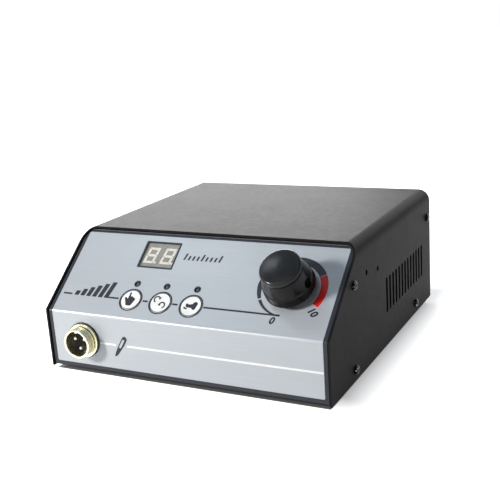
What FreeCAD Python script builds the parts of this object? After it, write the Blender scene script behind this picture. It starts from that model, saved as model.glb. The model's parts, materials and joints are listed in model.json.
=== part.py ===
import FreeCAD, Part
import math
import os

V = FreeCAD.Vector

# The bench-top control unit of a dental micromotor. A bent chassis sheet makes the bottom, the lower front,
# the slanted front and the rear, and a bent cover sheet makes the two sides and the top. The slanted front
# carries the display, three round keys and the speed knob, and the lower front the handpiece socket.
#
# Millimetres. The pieces are drawn with x to the right, y from the cover's front edge to the rear and z up
# from the cover's lower edge. The finished model is then moved so that its origin is on the bench, under the
# middle of its overall box.

# Case sheets
case_width = 200.0
case_depth = 205.0
case_height = 82.9
fold_height = 39.5  # the front is upright up to here and slants above it
top_setback = 53.3  # the slant reaches the top this far behind the lower front
cover_sheet = 1.2
chassis_sheet = 1.2
cover_bend = 8.2  # outside radius of the two long bends of the cover
chassis_bend = 1.0  # inside radius of the bends of the chassis
case_slip = 0.3  # gap between the chassis and the cover around it
edge_recess = 1.0  # front film and rear panel lie this far inside the cover's edges
top_lip = 12.0  # flanges of the chassis under the cover's top
side_flange_height = 13.0
side_flange_setback = 16.0  # the side flanges stop this far from both ends
upper_flange_reach = 17.0  # upper flanges stand this far behind the front and the rear panel
upper_flange_length = 20.0
flange_corner = 3.0
beyond = 1.0  # how far the cutting tools reach past what they cut

# Vent slots in both sides of the cover
vent_count = 13
vent_pitch = 6.7
vent_width = 3.6
vent_length = 24.0
vent_bottom = 22.5
vent_rear_margin = 23.2  # from the middle of the last slot to the rear edge

# Two holes in the right side, for a handpiece rest
rest_hole_radius = 1.8
rest_hole_pitch = 21.3
rest_hole_y = 73.8
rest_hole_z = 59.4
rest_hole_tilt = -10.0

# Screws: all are the same size, with a pan head
screw_radius = 1.5
screw_head_radius = 2.9
screw_head_height = 1.8
screw_play = 0.2  # radial, in a plain hole
thread_gap = 0.05  # radial, in a threaded hole
snug = 0.02  # around pieces that are pressed or moulded in
cross_width = 0.8
cross_depth = 1.0
nut_flats = 5.5
nut_thickness = 2.4
screw_end = 0.6  # of a screw beyond its nut
screw_head_bevel = 0.8
cross_length = 3.5
clinch_radius = 3.0
clinch_length = 3.0
lower_screw_inset = 39.5  # from the front and from the rear edge
lower_screw_z = 7.2
front_screw_up = 44.1  # along the slant from the fold
front_screw_behind = 8.8  # behind the face of the front film
rear_screw_inset = 8.3
rear_screw_z = 63.5

# Feet
foot_radius = 8.0
foot_taper = 0.8
foot_height = 3.0
foot_bevel = 0.4
foot_recess_radius = 4.2
foot_recess_depth = 2.0
foot_inset = 22.0

# Printed front film
film = 0.4
film_side_margin = 0.5
film_low_margin = 1.4
film_top_margin = 1.2
opening_corner = 0.5

# Display: window in the film, module behind it
window_side = 67.2  # from its middle to the case's left side
window_up = 49.1
window_width = 26.3
window_height = 20.4
display_width = 25.0
display_height = 19.0
display_body = 8.0
display_depth = 1.0  # the module's face lies this far under the film's face
display_gap = 0.3
display_corner = 0.4
digit_pitch = 12.5
digit_height = 12.3
digit_width = 8.1
digit_lean = 7.0
segment_width = 1.7
segment_gap = 0.15
segment_rise = 0.2
point_radius = 0.8

# Keys and lamps over them
key_count = 3
key_first_side = 60.4  # from the first key's middle to the case's left side
key_pitch = 22.2
key_up = 13.9
key_radius = 7.2
key_gap = 0.25
key_proud = 0.2
key_bevel = 0.2
key_rest_gap = 0.15
key_flange = 1.1
key_flange_thickness = 1.0
key_stem_radius = 2.5
lamp_up = 26.0
lamp_radius = 1.5
lamp_gap = 0.2
lamp_length = 5.0
lamp_sink = 0.1
lamp_bevel = 0.9
lead_side = 0.5
lead_pitch = 2.0

# Switches under the keys
switch_side = 6.0
switch_corner = 0.5
switch_body = 3.5
switch_height = 5.0  # from the board to the top of the plunger
plunger_radius = 1.75
plunger_bevel = 0.2
plunger_gap = 0.2
plunger_seat = 1.0  # length of the plunger inside the switch
key_travel = 0.5
key_end_gap = 0.1  # left under the plunger when the key is down

# Display board
board = 1.6
display_board_side = 45.0  # from its edge to the case's left side
display_board_width = 77.0
display_board_low = 6.0
display_board_high = 61.0
pillar_radius = 2.6
pillar_inset = 4.0
board_corner = 1.5
board_screw_grip = 4.5

# Speed control: potentiometer and knob
knob_side = 33.5  # from its axis to the case's right side
knob_up = 32.8
pot_radius = 8.0
pot_body_length = 10.0
pot_bevel = 0.6
bushing_radius = 3.5
bushing_height = 6.0
bushing_play = 0.1
bushing_bevel = 0.3
shaft_radius = 3.0
shaft_gap = 0.05
shaft_top = 15.0
shaft_tail = 9.0
shaft_flat = 2.5  # from the axis to the flat
shaft_flat_low = 7.5
pot_washer_radius = 5.5
pot_washer_thickness = 0.5
pot_nut_flats = 10.0
pot_nut_thickness = 2.0
lug_width = 1.6
lug_thickness = 0.6
lug_length = 5.0
lug_pitch = 5.0
lug_lift = 2.0  # over the lower end of the potentiometer's body
lug_root = 2.0  # inside the body

knob_lift = 4.0  # gap between the skirt and the film
skirt_base_radius = 16.2
skirt_top_radius = 15.6
skirt_height = 9.6
skirt_bevel = 0.4
skirt_round = 0.7
knob_low_radius = 15.0
knob_step_height = 10.6
knob_high_radius = 12.8
knob_height = 19.6
knob_recess_radius = 9.0
knob_recess_height = 6.0
knob_relief_radius = 4.2
knob_relief_height = 7.0
cap_radius = 13.0
cap_plug_radius = 11.4
cap_plug_depth = 1.8
cap_fit = 0.1
neck = 0.7
cap_bevel = 0.2
cap_side = 0.8
cap_edge = 2.2
cap_round = 2.0
cap_crown = 0.7
set_screw_angle = -9.0
set_screw_height = 11.6
set_screw_radius = 2.0
set_screw_sink = 0.4  # from the recess's floor to the screw
set_screw_hex = 1.0
set_screw_hex_depth = 1.5
set_recess_radius = 2.7
set_recess_depth = 1.0

# Handpiece socket on the lower front
socket_side = 28.5  # from its axis to the case's left side
socket_z = 21.1
socket_washer_radius = 11.8
socket_washer = 1.0
socket_flange_radius = 11.3
socket_flange = 1.5
socket_flange_bevel = 0.3
socket_barrel_radius = 9.7
socket_reach = 9.1  # from the film to the rim
socket_bore_radius = 8.25
socket_rim_bevel = 0.4
socket_sleeve_radius = 8.9
socket_sleeve_length = 9.0  # behind the film
socket_play = 0.2
socket_nut_flats = 24.0
socket_nut = 3.0
insert_gap = 0.05
insert_face = 1.0  # in front of the film
insert_back = -8.0
contact_count = 3
contact_radius = 1.1
contact_circle = 4.1
contact_tip = 5.4
contact_tail = -13.0
contact_bevel = 0.5
key_rib_width = 1.6
key_rib_depth = 1.0

# Rear fittings, in a row across the rear panel
rear_row_z = 38.0
bushing_room = 0.2  # around round fittings in the rear panel
inlet_side = 38.0  # from its middle to the case's right side
inlet_flange_width = 49.0
inlet_flange_height = 23.0
inlet_flange = 2.2
inlet_flange_corner = 4.0
inlet_body_corner = 0.8
inlet_body_width = 27.0
inlet_body_height = 19.6
inlet_body_depth = 19.0
inlet_mouth_width = 24.4
inlet_mouth_height = 16.4
inlet_mouth_depth = 17.0
inlet_corner = 4.5
inlet_screw_pitch = 40.0
fitting_play = 0.25  # around the bodies of the mains inlet and the switch
blade_width = 2.0
blade_height = 4.0
blade_corner = 0.3
blade_pitch = 14.0
blade_raise = 4.0
blade_sink = 1.5
tab_width = 6.3
tab_thickness = 0.8
tab_length = 8.0

rocker_inlet_gap = 12.0  # from the switch's bezel to the flange of the mains inlet
rocker_bezel_width = 15.0
rocker_bezel_height = 21.0
rocker_bezel = 2.0
rocker_bezel_corner = 1.0
rocker_body_width = 12.8
rocker_body_height = 19.0
rocker_body_depth = 14.0
rocker_width = 10.0
rocker_side_gap = 0.3
rocker_end_radius = 8.6
rocker_end_gap = 0.3
rocker_pivot_depth = 0.5  # under the panel's outer face
rocker_pin_radius = 1.2
rocker_pin_gap = 0.05
rocker_pin_reach = 0.7
rocker_floor = 5.5  # under the pivot
rocker_bottom = 2.2
rocker_ridge = 3.4
rocker_ridge_radius = 4.0
rocker_horn = 6.4
rocker_swing = 22.0

fuse_rocker_gap = 16.0  # from the fuse holder's flange to the switch's bezel
fuse_flange_radius = 8.5
fuse_flange = 2.0
fuse_bevel = 0.5
fuse_body_radius = 6.1
fuse_body_depth = 24.0
fuse_bore_radius = 4.9
fuse_cap_radius = 7.0
fuse_cap_height = 5.7
fuse_cap_gap = 0.3
fuse_cap_taper = 0.5
fuse_cap_bevel = 0.7
fuse_groove_count = 12
fuse_groove_radius = 0.7
fuse_groove_circle = 7.4
fuse_groove_lift = 0.8
fuse_stem_depth = 6.0
fuse_radius = 2.6
fuse_length = 20.0
fuse_grip = 3.0
fuse_slot_length = 9.8
fuse_slot_width = 1.5
fuse_slot_depth = 1.4
fuse_nut_thickness = 3.0
fuse_nut_flats = 16.0

jack_side = 48.0  # from its axis to the case's left side
jack_bore_radius = 3.2
jack_bushing_radius = 4.7
jack_bushing_height = 6.5
jack_body_side = 15.0
jack_body_corner = 1.5
jack_body_depth = 18.0
jack_bore_depth = 15.0
jack_nut_flats = 13.0
jack_nut_thickness = 2.5

# Mains transformer, beside the right-hand vents
core_side = 45.0  # from its middle to the case's right side
core_y = 128.0
core_width = 57.0
core_height = 48.0
core_stack = 22.0
coil_gap = 0.3  # to the limb and to the core above and below
coil_outer_gap = 0.9  # to the outer limbs
coil_corner = 4.0
strap = 1.2
strap_width = 16.0
strap_ear = 12.0
strap_corner = 1.5

# Main board and what stands on it
main_board_side = 12.0  # from its edge to the case's left side
main_board_width = 96.0
main_board_front = 68.0
main_board_rear = 166.0
main_board_lift = 6.0
capacitor_radius = 9.0
capacitor_height = 30.0
capacitor_bevel = 0.8
capacitor_spots = ((58.0, 84.0), (80.0, 84.0))  # places on the board, from its left and front edges
rectifier_spot = (60.0, 50.0)
rectifier_size = (19.0, 6.0, 17.0)
rectifier_bevel = 3.0
relay_spot = (80.0, 22.0)
relay_size = (19.0, 15.5, 15.0)
header_spots = (28.0, 46.0, 64.0)
header_size = (12.5, 5.8, 8.0)
header_inset = 6.0
header_wall = 0.8
header_room = 5.0
sink_base = 3.0
sink_length = 70.0
sink_height = 34.0
sink_fin = 13.0
sink_fin_thickness = 1.6
sink_fin_count = 9
sink_inset = 4.0
transistor_spots = (-17.0, 17.0)
transistor_size = (4.5, 10.0, 15.5)
transistor_tab = 1.3
transistor_tab_height = 20.0
transistor_lift = 5.0
transistor_leg = 0.7
transistor_leg_pitch = 2.54

# Worked out from the sizes above
slant_angle = math.degrees(math.atan2(case_height - fold_height, top_setback))
panel_front = -film
panel_back = -film - chassis_sheet
board_face = -display_depth - display_body
chassis_width = case_width - 2 * (cover_sheet + case_slip)
chassis_top = case_height - cover_sheet - case_slip
rear_face = case_depth - edge_recess
half_width = case_width / 2
window_x = window_side - half_width
key_places = [key_first_side - half_width + key_pitch * number for number in range(key_count)]
display_board_left = display_board_side - half_width
display_board_right = display_board_left + display_board_width
knob_x = half_width - knob_side
socket_x = socket_side - half_width
inlet_x = half_width - inlet_side
rocker_x = inlet_x - inlet_flange_width / 2 - rocker_inlet_gap - rocker_bezel_width / 2
fuse_x = rocker_x - rocker_bezel_width / 2 - fuse_rocker_gap - fuse_flange_radius
jack_x = jack_side - half_width
core_x = half_width - core_side
core_limb = core_width / 3
core_window_width = core_width / 6
core_window_height = core_width / 2
coil_half_width = core_limb / 2 + core_window_width - coil_outer_gap
coil_wall = coil_half_width - core_limb / 2 - coil_gap
main_board_left = main_board_side - half_width
main_board_right = main_board_left + main_board_width


def fold_at(depth):
    """The y and z of the fold, on a front face that lies depth behind the cover's front edges."""
    half_bend = math.radians(90 - slant_angle) / 2
    return depth, fold_height - depth * math.tan(half_bend)


def flat(a, b):
    return V(a, b, 0)


def upright(a, b):
    return V(a, 0, b)


def sideways(a, b):
    return V(0, a, b)


def outline(corners, place):
    """Closed wire through corners, where place turns a and b into a point.

    A corner is (a, b), or (a, b, radius) where it is rounded, or (a, b, -length) where it is cut off
    straight.
    """
    stops = []
    count = len(corners)
    for number, corner in enumerate(corners):
        here = place(corner[0], corner[1])
        radius = corner[2] if len(corner) > 2 else 0
        if radius == 0:
            stops.append((here, None, here))
            continue
        before = place(*corners[number - 1][:2])
        after = place(*corners[(number + 1) % count][:2])
        back = (before - here).normalize()
        on = (after - here).normalize()
        if radius < 0:
            stops.append((here - back * radius, None, here - on * radius))
            continue
        half = back.getAngle(on) / 2
        reach = radius / math.tan(half)
        inward = (back + on).normalize() * (radius / math.sin(half) - radius)
        stops.append((here + back * reach, here + inward, here + on * reach))
    edges = []
    for number, (start, middle, end) in enumerate(stops):
        if middle is not None:
            edges.append(Part.Arc(start, middle, end).toShape())
        elif start.distanceToPoint(end) > 1e-6:
            edges.append(Part.LineSegment(start, end).toShape())
        following = stops[(number + 1) % count][0]
        if end.distanceToPoint(following) > 1e-6:
            edges.append(Part.LineSegment(end, following).toShape())
    return Part.Wire(edges)


def plate(corners, low, high):
    """A flat plate with the outline given in x and y, from low to high along z."""
    face = Part.Face(outline(corners, flat))
    face.translate(V(0, 0, low))
    return face.extrude(V(0, 0, high - low))


def bar_along_x(corners, left, right):
    """A bar along x with the outline given in y and z."""
    face = Part.Face(outline(corners, sideways))
    face.translate(V(left, 0, 0))
    return face.extrude(V(right - left, 0, 0))


def bar_along_y(corners, front, rear):
    """A bar along y with the outline given in x and z."""
    face = Part.Face(outline(corners, upright))
    face.translate(V(0, front, 0))
    return face.extrude(V(0, rear - front, 0))


def turned(corners, x=0.0, y=0.0):
    """A solid turned about a line along z, with its half outline given in radius and z."""
    solid = Part.Face(outline(corners, upright)).revolve(V(0, 0, 0), V(0, 0, 1), 360)
    solid.translate(V(x, y, 0))
    return solid


def disc(radius, low, high, x=0.0, y=0.0):
    return Part.makeCylinder(radius, high - low, V(x, y, low), V(0, 0, 1))


def ring(radius, hole, low, high, x=0.0, y=0.0):
    return disc(radius, low, high, x, y).cut(disc(hole, low, high, x, y))


def box(width, depth, low, high, x=0.0, y=0.0):
    """A block centred on x and y, from low to high along z."""
    return Part.makeBox(width, depth, high - low, V(x - width / 2, y - depth / 2, low))


def rounded(width, height, radius, x=0.0, y=0.0):
    """Corners of a rectangle centred on x and y, each with the radius."""
    across = width / 2
    along = height / 2
    return [
        (x - across, y - along, radius),
        (x + across, y - along, radius),
        (x + across, y + along, radius),
        (x - across, y + along, radius),
    ]


def hexagon(flats, low, high, x=0.0, y=0.0):
    corner = flats / math.sqrt(3)
    turns = [math.radians(60 * number) for number in range(6)]
    corners = [(x + corner * math.cos(turn), y + corner * math.sin(turn)) for turn in turns]
    return plate(corners, low, high)


def hex_nut(flats, hole, low, high, x=0.0, y=0.0):
    """A hexagon nut with its upper corners turned off."""
    corner = flats / math.sqrt(3)
    bevel = (corner - flats / 2) / 2
    profile = [(hole, low), (corner, low), (corner, high - bevel), (flats / 2, high), (hole, high)]
    return hexagon(flats, low, high, x, y).common(turned(profile, x, y))


def plain_screw(length, x=0.0, y=0.0, seat=0.0):
    """A pan-head screw that points down from its seat."""
    top = seat + screw_head_height
    return turned(
        [
            (0, seat - length),
            (screw_radius, seat - length),
            (screw_radius, seat),
            (screw_head_radius, seat),
            (screw_head_radius, top, -screw_head_bevel),
            (0, top),
        ],
        x,
        y,
    )


def pan_screw(length, x=0.0, y=0.0, seat=0.0):
    """A pan-head screw with a cross slot in its head."""
    top = seat + screw_head_height
    slot = box(cross_length, cross_width, top - cross_depth, top, x, y)
    cross = slot.fuse(box(cross_width, cross_length, top - cross_depth, top, x, y))
    return plain_screw(length, x, y, seat).cut(cross)


def on_front(shape):
    """Moves a piece drawn flat, z outward, to the lower front: z = 0 is the face of the film."""
    turn = FreeCAD.Rotation(V(1, 0, 0), 90)
    placed = shape.copy()
    placed.Placement = FreeCAD.Placement(V(0, edge_recess, 0), turn) * shape.Placement
    return placed


def on_slant(shape):
    """Moves a piece drawn flat, y up the slope from the fold and z outward, to the slanted front."""
    depth, height = fold_at(edge_recess)
    turn = FreeCAD.Rotation(V(1, 0, 0), slant_angle)
    placed = shape.copy()
    placed.Placement = FreeCAD.Placement(V(0, depth, height), turn) * shape.Placement
    return placed


def on_rear(shape):
    """Moves a piece drawn flat, as seen from behind with z outward, to the outer face of the rear panel."""
    turn = FreeCAD.Rotation(V(0, 0, 1), 180) * FreeCAD.Rotation(V(1, 0, 0), 90)
    placed = shape.copy()
    placed.Placement = FreeCAD.Placement(V(0, rear_face, 0), turn) * shape.Placement
    return placed


def on_right(shape):
    """Moves a piece drawn flat, x to the rear, y up and z outward, to the outer face of the right side."""
    turn = FreeCAD.Rotation(V(1, 1, 1), 120)
    placed = shape.copy()
    placed.Placement = FreeCAD.Placement(V(case_width / 2, 0, 0), turn) * shape.Placement
    return placed


def both_sides(shapes):
    """The shapes of the right side with their mirror images on the left."""
    return shapes + [shape.mirror(V(0, 0, 0), V(1, 0, 0)) for shape in shapes]


def offset_path(path, distance):
    """The open path of (y, z) points moved to its left."""
    normals = []
    for start, end in zip(path, path[1:]):
        length = math.hypot(end[0] - start[0], end[1] - start[1])
        normals.append((-(end[1] - start[1]) / length, (end[0] - start[0]) / length))
    moved = []
    for number, point in enumerate(path):
        first = normals[max(number - 1, 0)]
        second = normals[min(number, len(normals) - 1)]
        share = distance / (1 + first[0] * second[0] + first[1] * second[1])
        moved.append((point[0] + share * (first[0] + second[0]), point[1] + share * (first[1] + second[1])))
    return moved


def bent_sheet(path, thickness, inside_radius, width):
    """A sheet whose outer face follows the (y, z) path and whose bends all turn to the left."""
    last = len(path) - 1
    outer = []
    for number, point in enumerate(path):
        outer.append((*point, inside_radius + thickness if 0 < number < last else 0))
    inner = []
    for number, point in enumerate(offset_path(path, thickness)):
        inner.append((*point, inside_radius if 0 < number < last else 0))
    return bar_along_x(outer + inner[::-1], -width / 2, width / 2)


def slant_point(up, behind):
    """The y and z of a point, up the slope from the fold and behind the face of the front film."""
    depth, height = fold_at(edge_recess)
    angle = math.radians(slant_angle)
    return (
        depth + up * math.cos(angle) + behind * math.sin(angle),
        height + up * math.sin(angle) - behind * math.cos(angle),
    )


def cover_screw_places():
    """The y and z of the four screws in each side: front upper, front lower, rear upper, rear lower."""
    return [
        slant_point(front_screw_up, front_screw_behind),
        (lower_screw_inset, lower_screw_z),
        (case_depth - rear_screw_inset, rear_screw_z),
        (case_depth - lower_screw_inset, lower_screw_z),
    ]


def rest_hole_places():
    """The y and z of the two holes for a handpiece rest."""
    angle = math.radians(rest_hole_tilt)
    along = rest_hole_pitch / 2 * math.cos(angle)
    rise = rest_hole_pitch / 2 * math.sin(angle)
    return [(rest_hole_y + side * along, rest_hole_z + side * rise) for side in (-1, 1)]


def foot_places():
    across = case_width / 2 - foot_inset
    return [(x, y) for x in (-across, across) for y in (foot_inset, case_depth - foot_inset)]


def transformer_ear_places():
    across = core_width / 2 + strap + strap_ear / 2
    return [(core_x + side * across, core_y) for side in (-1, 1)]


def pillar_places(left, right, low, high):
    """The middles of the four pillars under a board with these edges."""
    columns = (left + pillar_inset, right - pillar_inset)
    rows = (low + pillar_inset, high - pillar_inset)
    return [(x, y) for x in columns for y in rows]


def contact_places():
    """The x and y of the socket's contacts, about its axis."""
    turns = [math.radians(-90 + 360 / contact_count * number) for number in range(contact_count)]
    return [(contact_circle * math.cos(turn), contact_circle * math.sin(turn)) for turn in turns]


def holes(places, radius, low, high):
    return [disc(radius, low, high, x, y) for x, y in places]


def case_room(margin):
    """The inside of the cover, less a margin at its sides and top, along the whole depth."""
    across = case_width / 2 - cover_sheet - margin
    top = case_height - cover_sheet - margin
    bend = cover_bend - cover_sheet - margin
    corners = [(-across, -beyond), (across, -beyond), (across, top, bend), (-across, top, bend)]
    return bar_along_y(corners, 0, case_depth)


def top_cover():
    across = case_width / 2
    body = bar_along_y(
        [(-across, 0), (across, 0), (across, case_height, cover_bend), (-across, case_height, cover_bend)],
        0,
        case_depth,
    )
    body = body.cut(case_room(0))
    over = fold_height + case_height
    slope = (case_height - fold_height) / top_setback
    ahead = [(0, fold_height), (case_height / slope, over), (-beyond, over), (-beyond, fold_height)]
    body = body.cut(bar_along_x(ahead, -case_width, case_width))
    under = -cover_sheet - beyond
    tools = vent_slots(under)
    for hole in holes(cover_screw_places(), screw_radius + screw_play, under, beyond):
        tools.append(on_right(hole))
    tools = both_sides(tools)
    for hole in holes(rest_hole_places(), rest_hole_radius, under, beyond):
        tools.append(on_right(hole))
    return body.cut(Part.makeCompound(tools))


def vent_slots(under):
    """The row of upright slots in the right side, each with round ends."""
    half = vent_width / 2
    low = vent_bottom + half
    high = vent_bottom + vent_length - half
    last = case_depth - vent_rear_margin
    slots = []
    for number in range(vent_count):
        y = last - vent_pitch * number
        slot = box(vent_width, high - low, under, beyond, y, (low + high) / 2)
        for end in (low, high):
            slot = slot.fuse(disc(half, under, beyond, y, end))
        slots.append(on_right(slot.removeSplitter()))
    return slots


def chassis_path():
    """The outer face of the chassis, from its front top flange round to its rear top flange."""
    depth, fold = fold_at(edge_recess + film)
    slope = (case_height - fold_height) / top_setback
    crest = depth + (chassis_top - fold) / slope
    return [
        (crest + top_lip, chassis_top),
        (crest, chassis_top),
        (depth, fold),
        (depth, 0),
        (rear_face, 0),
        (rear_face, chassis_top),
        (rear_face - top_lip, chassis_top),
    ]


def chassis_flanges():
    """The flanges that the cover's screws go into: along the bottom and behind the front and rear panels."""
    skin = chassis_width / 2
    low = plate(
        [
            (side_flange_setback, 0),
            (case_depth - side_flange_setback, 0),
            (case_depth - side_flange_setback, side_flange_height, flange_corner),
            (side_flange_setback, side_flange_height, flange_corner),
        ],
        -chassis_sheet,
        0,
    )
    half = upper_flange_length / 2
    front_root = -panel_back - chassis_sheet / 2
    front = [
        slant_point(front_screw_up - half, front_root),
        slant_point(front_screw_up + half, front_root),
        (*slant_point(front_screw_up + half, upper_flange_reach), flange_corner),
        (*slant_point(front_screw_up - half, upper_flange_reach), flange_corner),
    ]
    rear_root = rear_face - chassis_sheet / 2
    rear_end = rear_face - upper_flange_reach
    rear = [
        (rear_root, rear_screw_z - half),
        (rear_root, rear_screw_z + half),
        (rear_end, rear_screw_z + half, flange_corner),
        (rear_end, rear_screw_z - half, flange_corner),
    ]
    flanges = []
    for shape in (low, plate(front, -chassis_sheet, 0), plate(rear, -chassis_sheet, 0)):
        placed = on_right(shape)
        placed.translate(V(skin - case_width / 2, 0, 0))
        flanges.append(placed)
    return both_sides(flanges)


def slant_cuts():
    """Holes in the chassis for what the slanted front carries, drawn flat."""
    under = panel_back - beyond
    over = panel_front + beyond
    opening_width = display_width + 2 * display_gap
    opening_height = display_height + 2 * display_gap
    opening = rounded(opening_width, opening_height, opening_corner, window_x, window_up)
    cuts = [plate(opening, under, over)]
    for x in key_places:
        cuts.append(disc(key_radius + key_gap, under, over, x, key_up))
        cuts.append(disc(lamp_radius + lamp_gap, under, over, x, lamp_up))
    cuts.append(disc(bushing_radius + bushing_play, under, over, knob_x, knob_up))
    return cuts


def rear_cuts():
    """Holes in the rear panel, drawn as seen from behind, where x points to the left of the case."""
    under = -chassis_sheet - beyond
    over = beyond
    body_width = inlet_body_width + 2 * fitting_play
    body_height = inlet_body_height + 2 * fitting_play
    cuts = [plate(rounded(body_width, body_height, inlet_body_corner, -inlet_x, rear_row_z), under, over)]
    cuts += holes(inlet_screw_places(), screw_radius + screw_play, under, over)
    body_width = rocker_body_width + 2 * fitting_play
    body_height = rocker_body_height + 2 * fitting_play
    cuts.append(box(body_width, body_height, under, over, -rocker_x, rear_row_z))
    cuts.append(disc(fuse_body_radius + bushing_room, under, over, -fuse_x, rear_row_z))
    cuts.append(disc(jack_bushing_radius + bushing_room, under, over, -jack_x, rear_row_z))
    return cuts


def chassis():
    body = bent_sheet(chassis_path(), chassis_sheet, chassis_bend, chassis_width)
    body = body.common(case_room(case_slip))
    for flange in chassis_flanges():
        body = body.fuse(flange)
    cuts = [on_slant(cut) for cut in slant_cuts()]
    cuts += [on_rear(cut) for cut in rear_cuts()]
    sleeve_hole = socket_sleeve_radius + socket_play
    cuts.append(on_front(disc(sleeve_hole, panel_back - beyond, panel_front + beyond, socket_x, socket_z)))
    through = -cover_sheet - case_slip - chassis_sheet - beyond
    flange_holes = holes(cover_screw_places(), screw_radius + thread_gap, through, 0)
    cuts += both_sides([on_right(hole) for hole in flange_holes])
    places = foot_places() + transformer_ear_places()
    cuts += holes(places, screw_radius + screw_play, -beyond, chassis_sheet + beyond)
    return body.cut(Part.makeCompound(cuts)).removeSplitter()


def clinch_nuts():
    high = -cover_sheet - case_slip - chassis_sheet
    low = high - clinch_length
    hole = screw_radius + thread_gap
    nuts = [on_right(ring(clinch_radius, hole, low, high, y, z)) for y, z in cover_screw_places()]
    return both_sides(nuts)


def cover_screws(places):
    length = cover_sheet + case_slip + chassis_sheet + clinch_length
    return both_sides([on_right(pan_screw(length, y, z)) for y, z in places])


def front_cover_screws():
    return cover_screws(cover_screw_places()[:2])


def rear_cover_screws():
    return cover_screws(cover_screw_places()[2:])


def rubber_feet():
    feet = []
    for x, y in foot_places():
        feet.append(
            turned(
                [
                    (screw_radius + screw_play, 0),
                    (foot_radius, 0),
                    (foot_radius - foot_taper, -foot_height, -foot_bevel),
                    (foot_recess_radius, -foot_height),
                    (foot_recess_radius, -foot_height + foot_recess_depth),
                    (screw_radius + screw_play, -foot_height + foot_recess_depth),
                ],
                x,
                y,
            )
        )
    return feet


def upside_down(shape):
    turned_over = shape.copy()
    turned_over.rotate(V(0, 0, 0), V(1, 0, 0), 180)
    return turned_over


def bottom_screws():
    """The screws of the feet and of the transformer, from below."""
    seat = foot_height - foot_recess_depth
    length = seat + chassis_sheet + nut_thickness + screw_end
    screws = [upside_down(pan_screw(length, x, -y, seat)) for x, y in foot_places()]
    length = chassis_sheet + strap + nut_thickness + screw_end
    return screws + [upside_down(pan_screw(length, x, -y, 0)) for x, y in transformer_ear_places()]


def screw_nuts():
    """The nuts of the feet, of the transformer and of the mains inlet."""
    hole = screw_radius + thread_gap
    low = chassis_sheet
    nuts = [hex_nut(nut_flats, hole, low, low + nut_thickness, x, y) for x, y in foot_places()]
    low = core_floor() + strap
    for x, y in transformer_ear_places():
        nuts.append(hex_nut(nut_flats, hole, low, low + nut_thickness, x, y))
    low = -chassis_sheet - nut_thickness
    for x, y in inlet_screw_places():
        nuts.append(on_rear(hex_nut(nut_flats, hole, low, -chassis_sheet, x, y)))
    return nuts


def front_film():
    depth, fold = fold_at(edge_recess)
    crest, bend = chassis_path()[1:3]
    top_up = math.dist(crest, bend) - film_top_margin
    path = [slant_point(top_up, 0), (depth, fold), (depth, film_low_margin)]
    body = bent_sheet(path, film, chassis_bend + chassis_sheet, chassis_width - 2 * film_side_margin)
    body = body.common(case_room(case_slip + film_side_margin))
    under = panel_front - beyond
    cuts = [plate(window_outline(), under, beyond)]
    for x in key_places:
        cuts.append(disc(key_radius + key_gap, under, beyond, x, key_up))
        cuts.append(disc(lamp_radius + lamp_gap, under, beyond, x, lamp_up))
    cuts.append(disc(bushing_radius + bushing_play, under, beyond, knob_x, knob_up))
    placed = [on_slant(cut) for cut in cuts]
    placed.append(on_front(disc(socket_sleeve_radius + socket_play, under, beyond, socket_x, socket_z)))
    return body.cut(Part.makeCompound(placed))


def window_outline():
    return rounded(window_width, window_height, opening_corner, window_x, window_up)


def display_window():
    return on_slant(plate(window_outline(), -film, 0))


def display_module():
    top = -display_depth
    corners = rounded(display_width, display_height, display_corner, window_x, window_up)
    return on_slant(plate(corners, top - display_body, top))


def digit_bars():
    """The outlines of a digit's seven bars, mitred where they meet, before the digit leans."""
    side = digit_width / 2
    top = digit_height / 2
    half = segment_width / 2
    inner = side - segment_width
    tip = side - 2 * segment_gap
    shoulder = tip - segment_width
    middle = [(-tip, 0), (-shoulder, half), (shoulder, half)]
    middle += [(-x, -y) for x, y in middle]
    level = [(side - segment_gap, top), (inner - segment_gap, top - segment_width)]
    level += [(-x, y) for x, y in level[::-1]]
    tall = [(side, segment_gap), (inner, half + segment_gap)]
    tall += [(inner, top - segment_width - segment_gap), (side, top - segment_gap)]
    bars = [middle]
    for turn in (1, -1):
        bars.append([(x, turn * y) for x, y in level])
        bars += [[(mirror * x, turn * y) for x, y in tall] for mirror in (1, -1)]
    return bars


def display_segments():
    lean = math.tan(math.radians(digit_lean))
    low = -display_depth
    high = low + segment_rise
    pieces = []
    for number in (-0.5, 0.5):
        middle = window_x + number * digit_pitch
        for bar in digit_bars():
            corners = [(middle + x + lean * y, window_up + y) for x, y in bar]
            pieces.append(on_slant(plate(corners, low, high)))
        foot = digit_height / 2 - point_radius
        point_x = middle + digit_width / 2 + point_radius + segment_gap - lean * foot
        pieces.append(on_slant(disc(point_radius, low, high, point_x, window_up - foot)))
    return pieces


def display_board_edges():
    return display_board_left, display_board_right, display_board_low, display_board_high


def board_plate(left, right, low, high, bottom, top):
    middle = ((left + right) / 2, (low + high) / 2)
    body = plate(rounded(right - left, high - low, board_corner, *middle), bottom, top)
    for hole in holes(pillar_places(left, right, low, high), screw_radius + screw_play, bottom, top):
        body = body.cut(hole)
    return body


def display_board():
    return on_slant(board_plate(*display_board_edges(), board_face - board, board_face))


def display_pillars():
    places = pillar_places(*display_board_edges())
    hole = screw_radius + thread_gap
    return [on_slant(ring(pillar_radius, hole, board_face, panel_back, x, y)) for x, y in places]


def key_cap(x):
    plunger_top = board_face + switch_height
    flange_top = panel_back - key_rest_gap
    flange_bottom = flange_top - key_flange_thickness
    corners = [
        (0, plunger_top),
        (key_stem_radius, plunger_top),
        (key_stem_radius, flange_bottom),
        (key_radius + key_flange, flange_bottom),
        (key_radius + key_flange, flange_top),
        (key_radius, flange_top),
        (key_radius, key_proud, -key_bevel),
        (0, key_proud),
    ]
    return on_slant(turned(corners, x, key_up))


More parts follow.
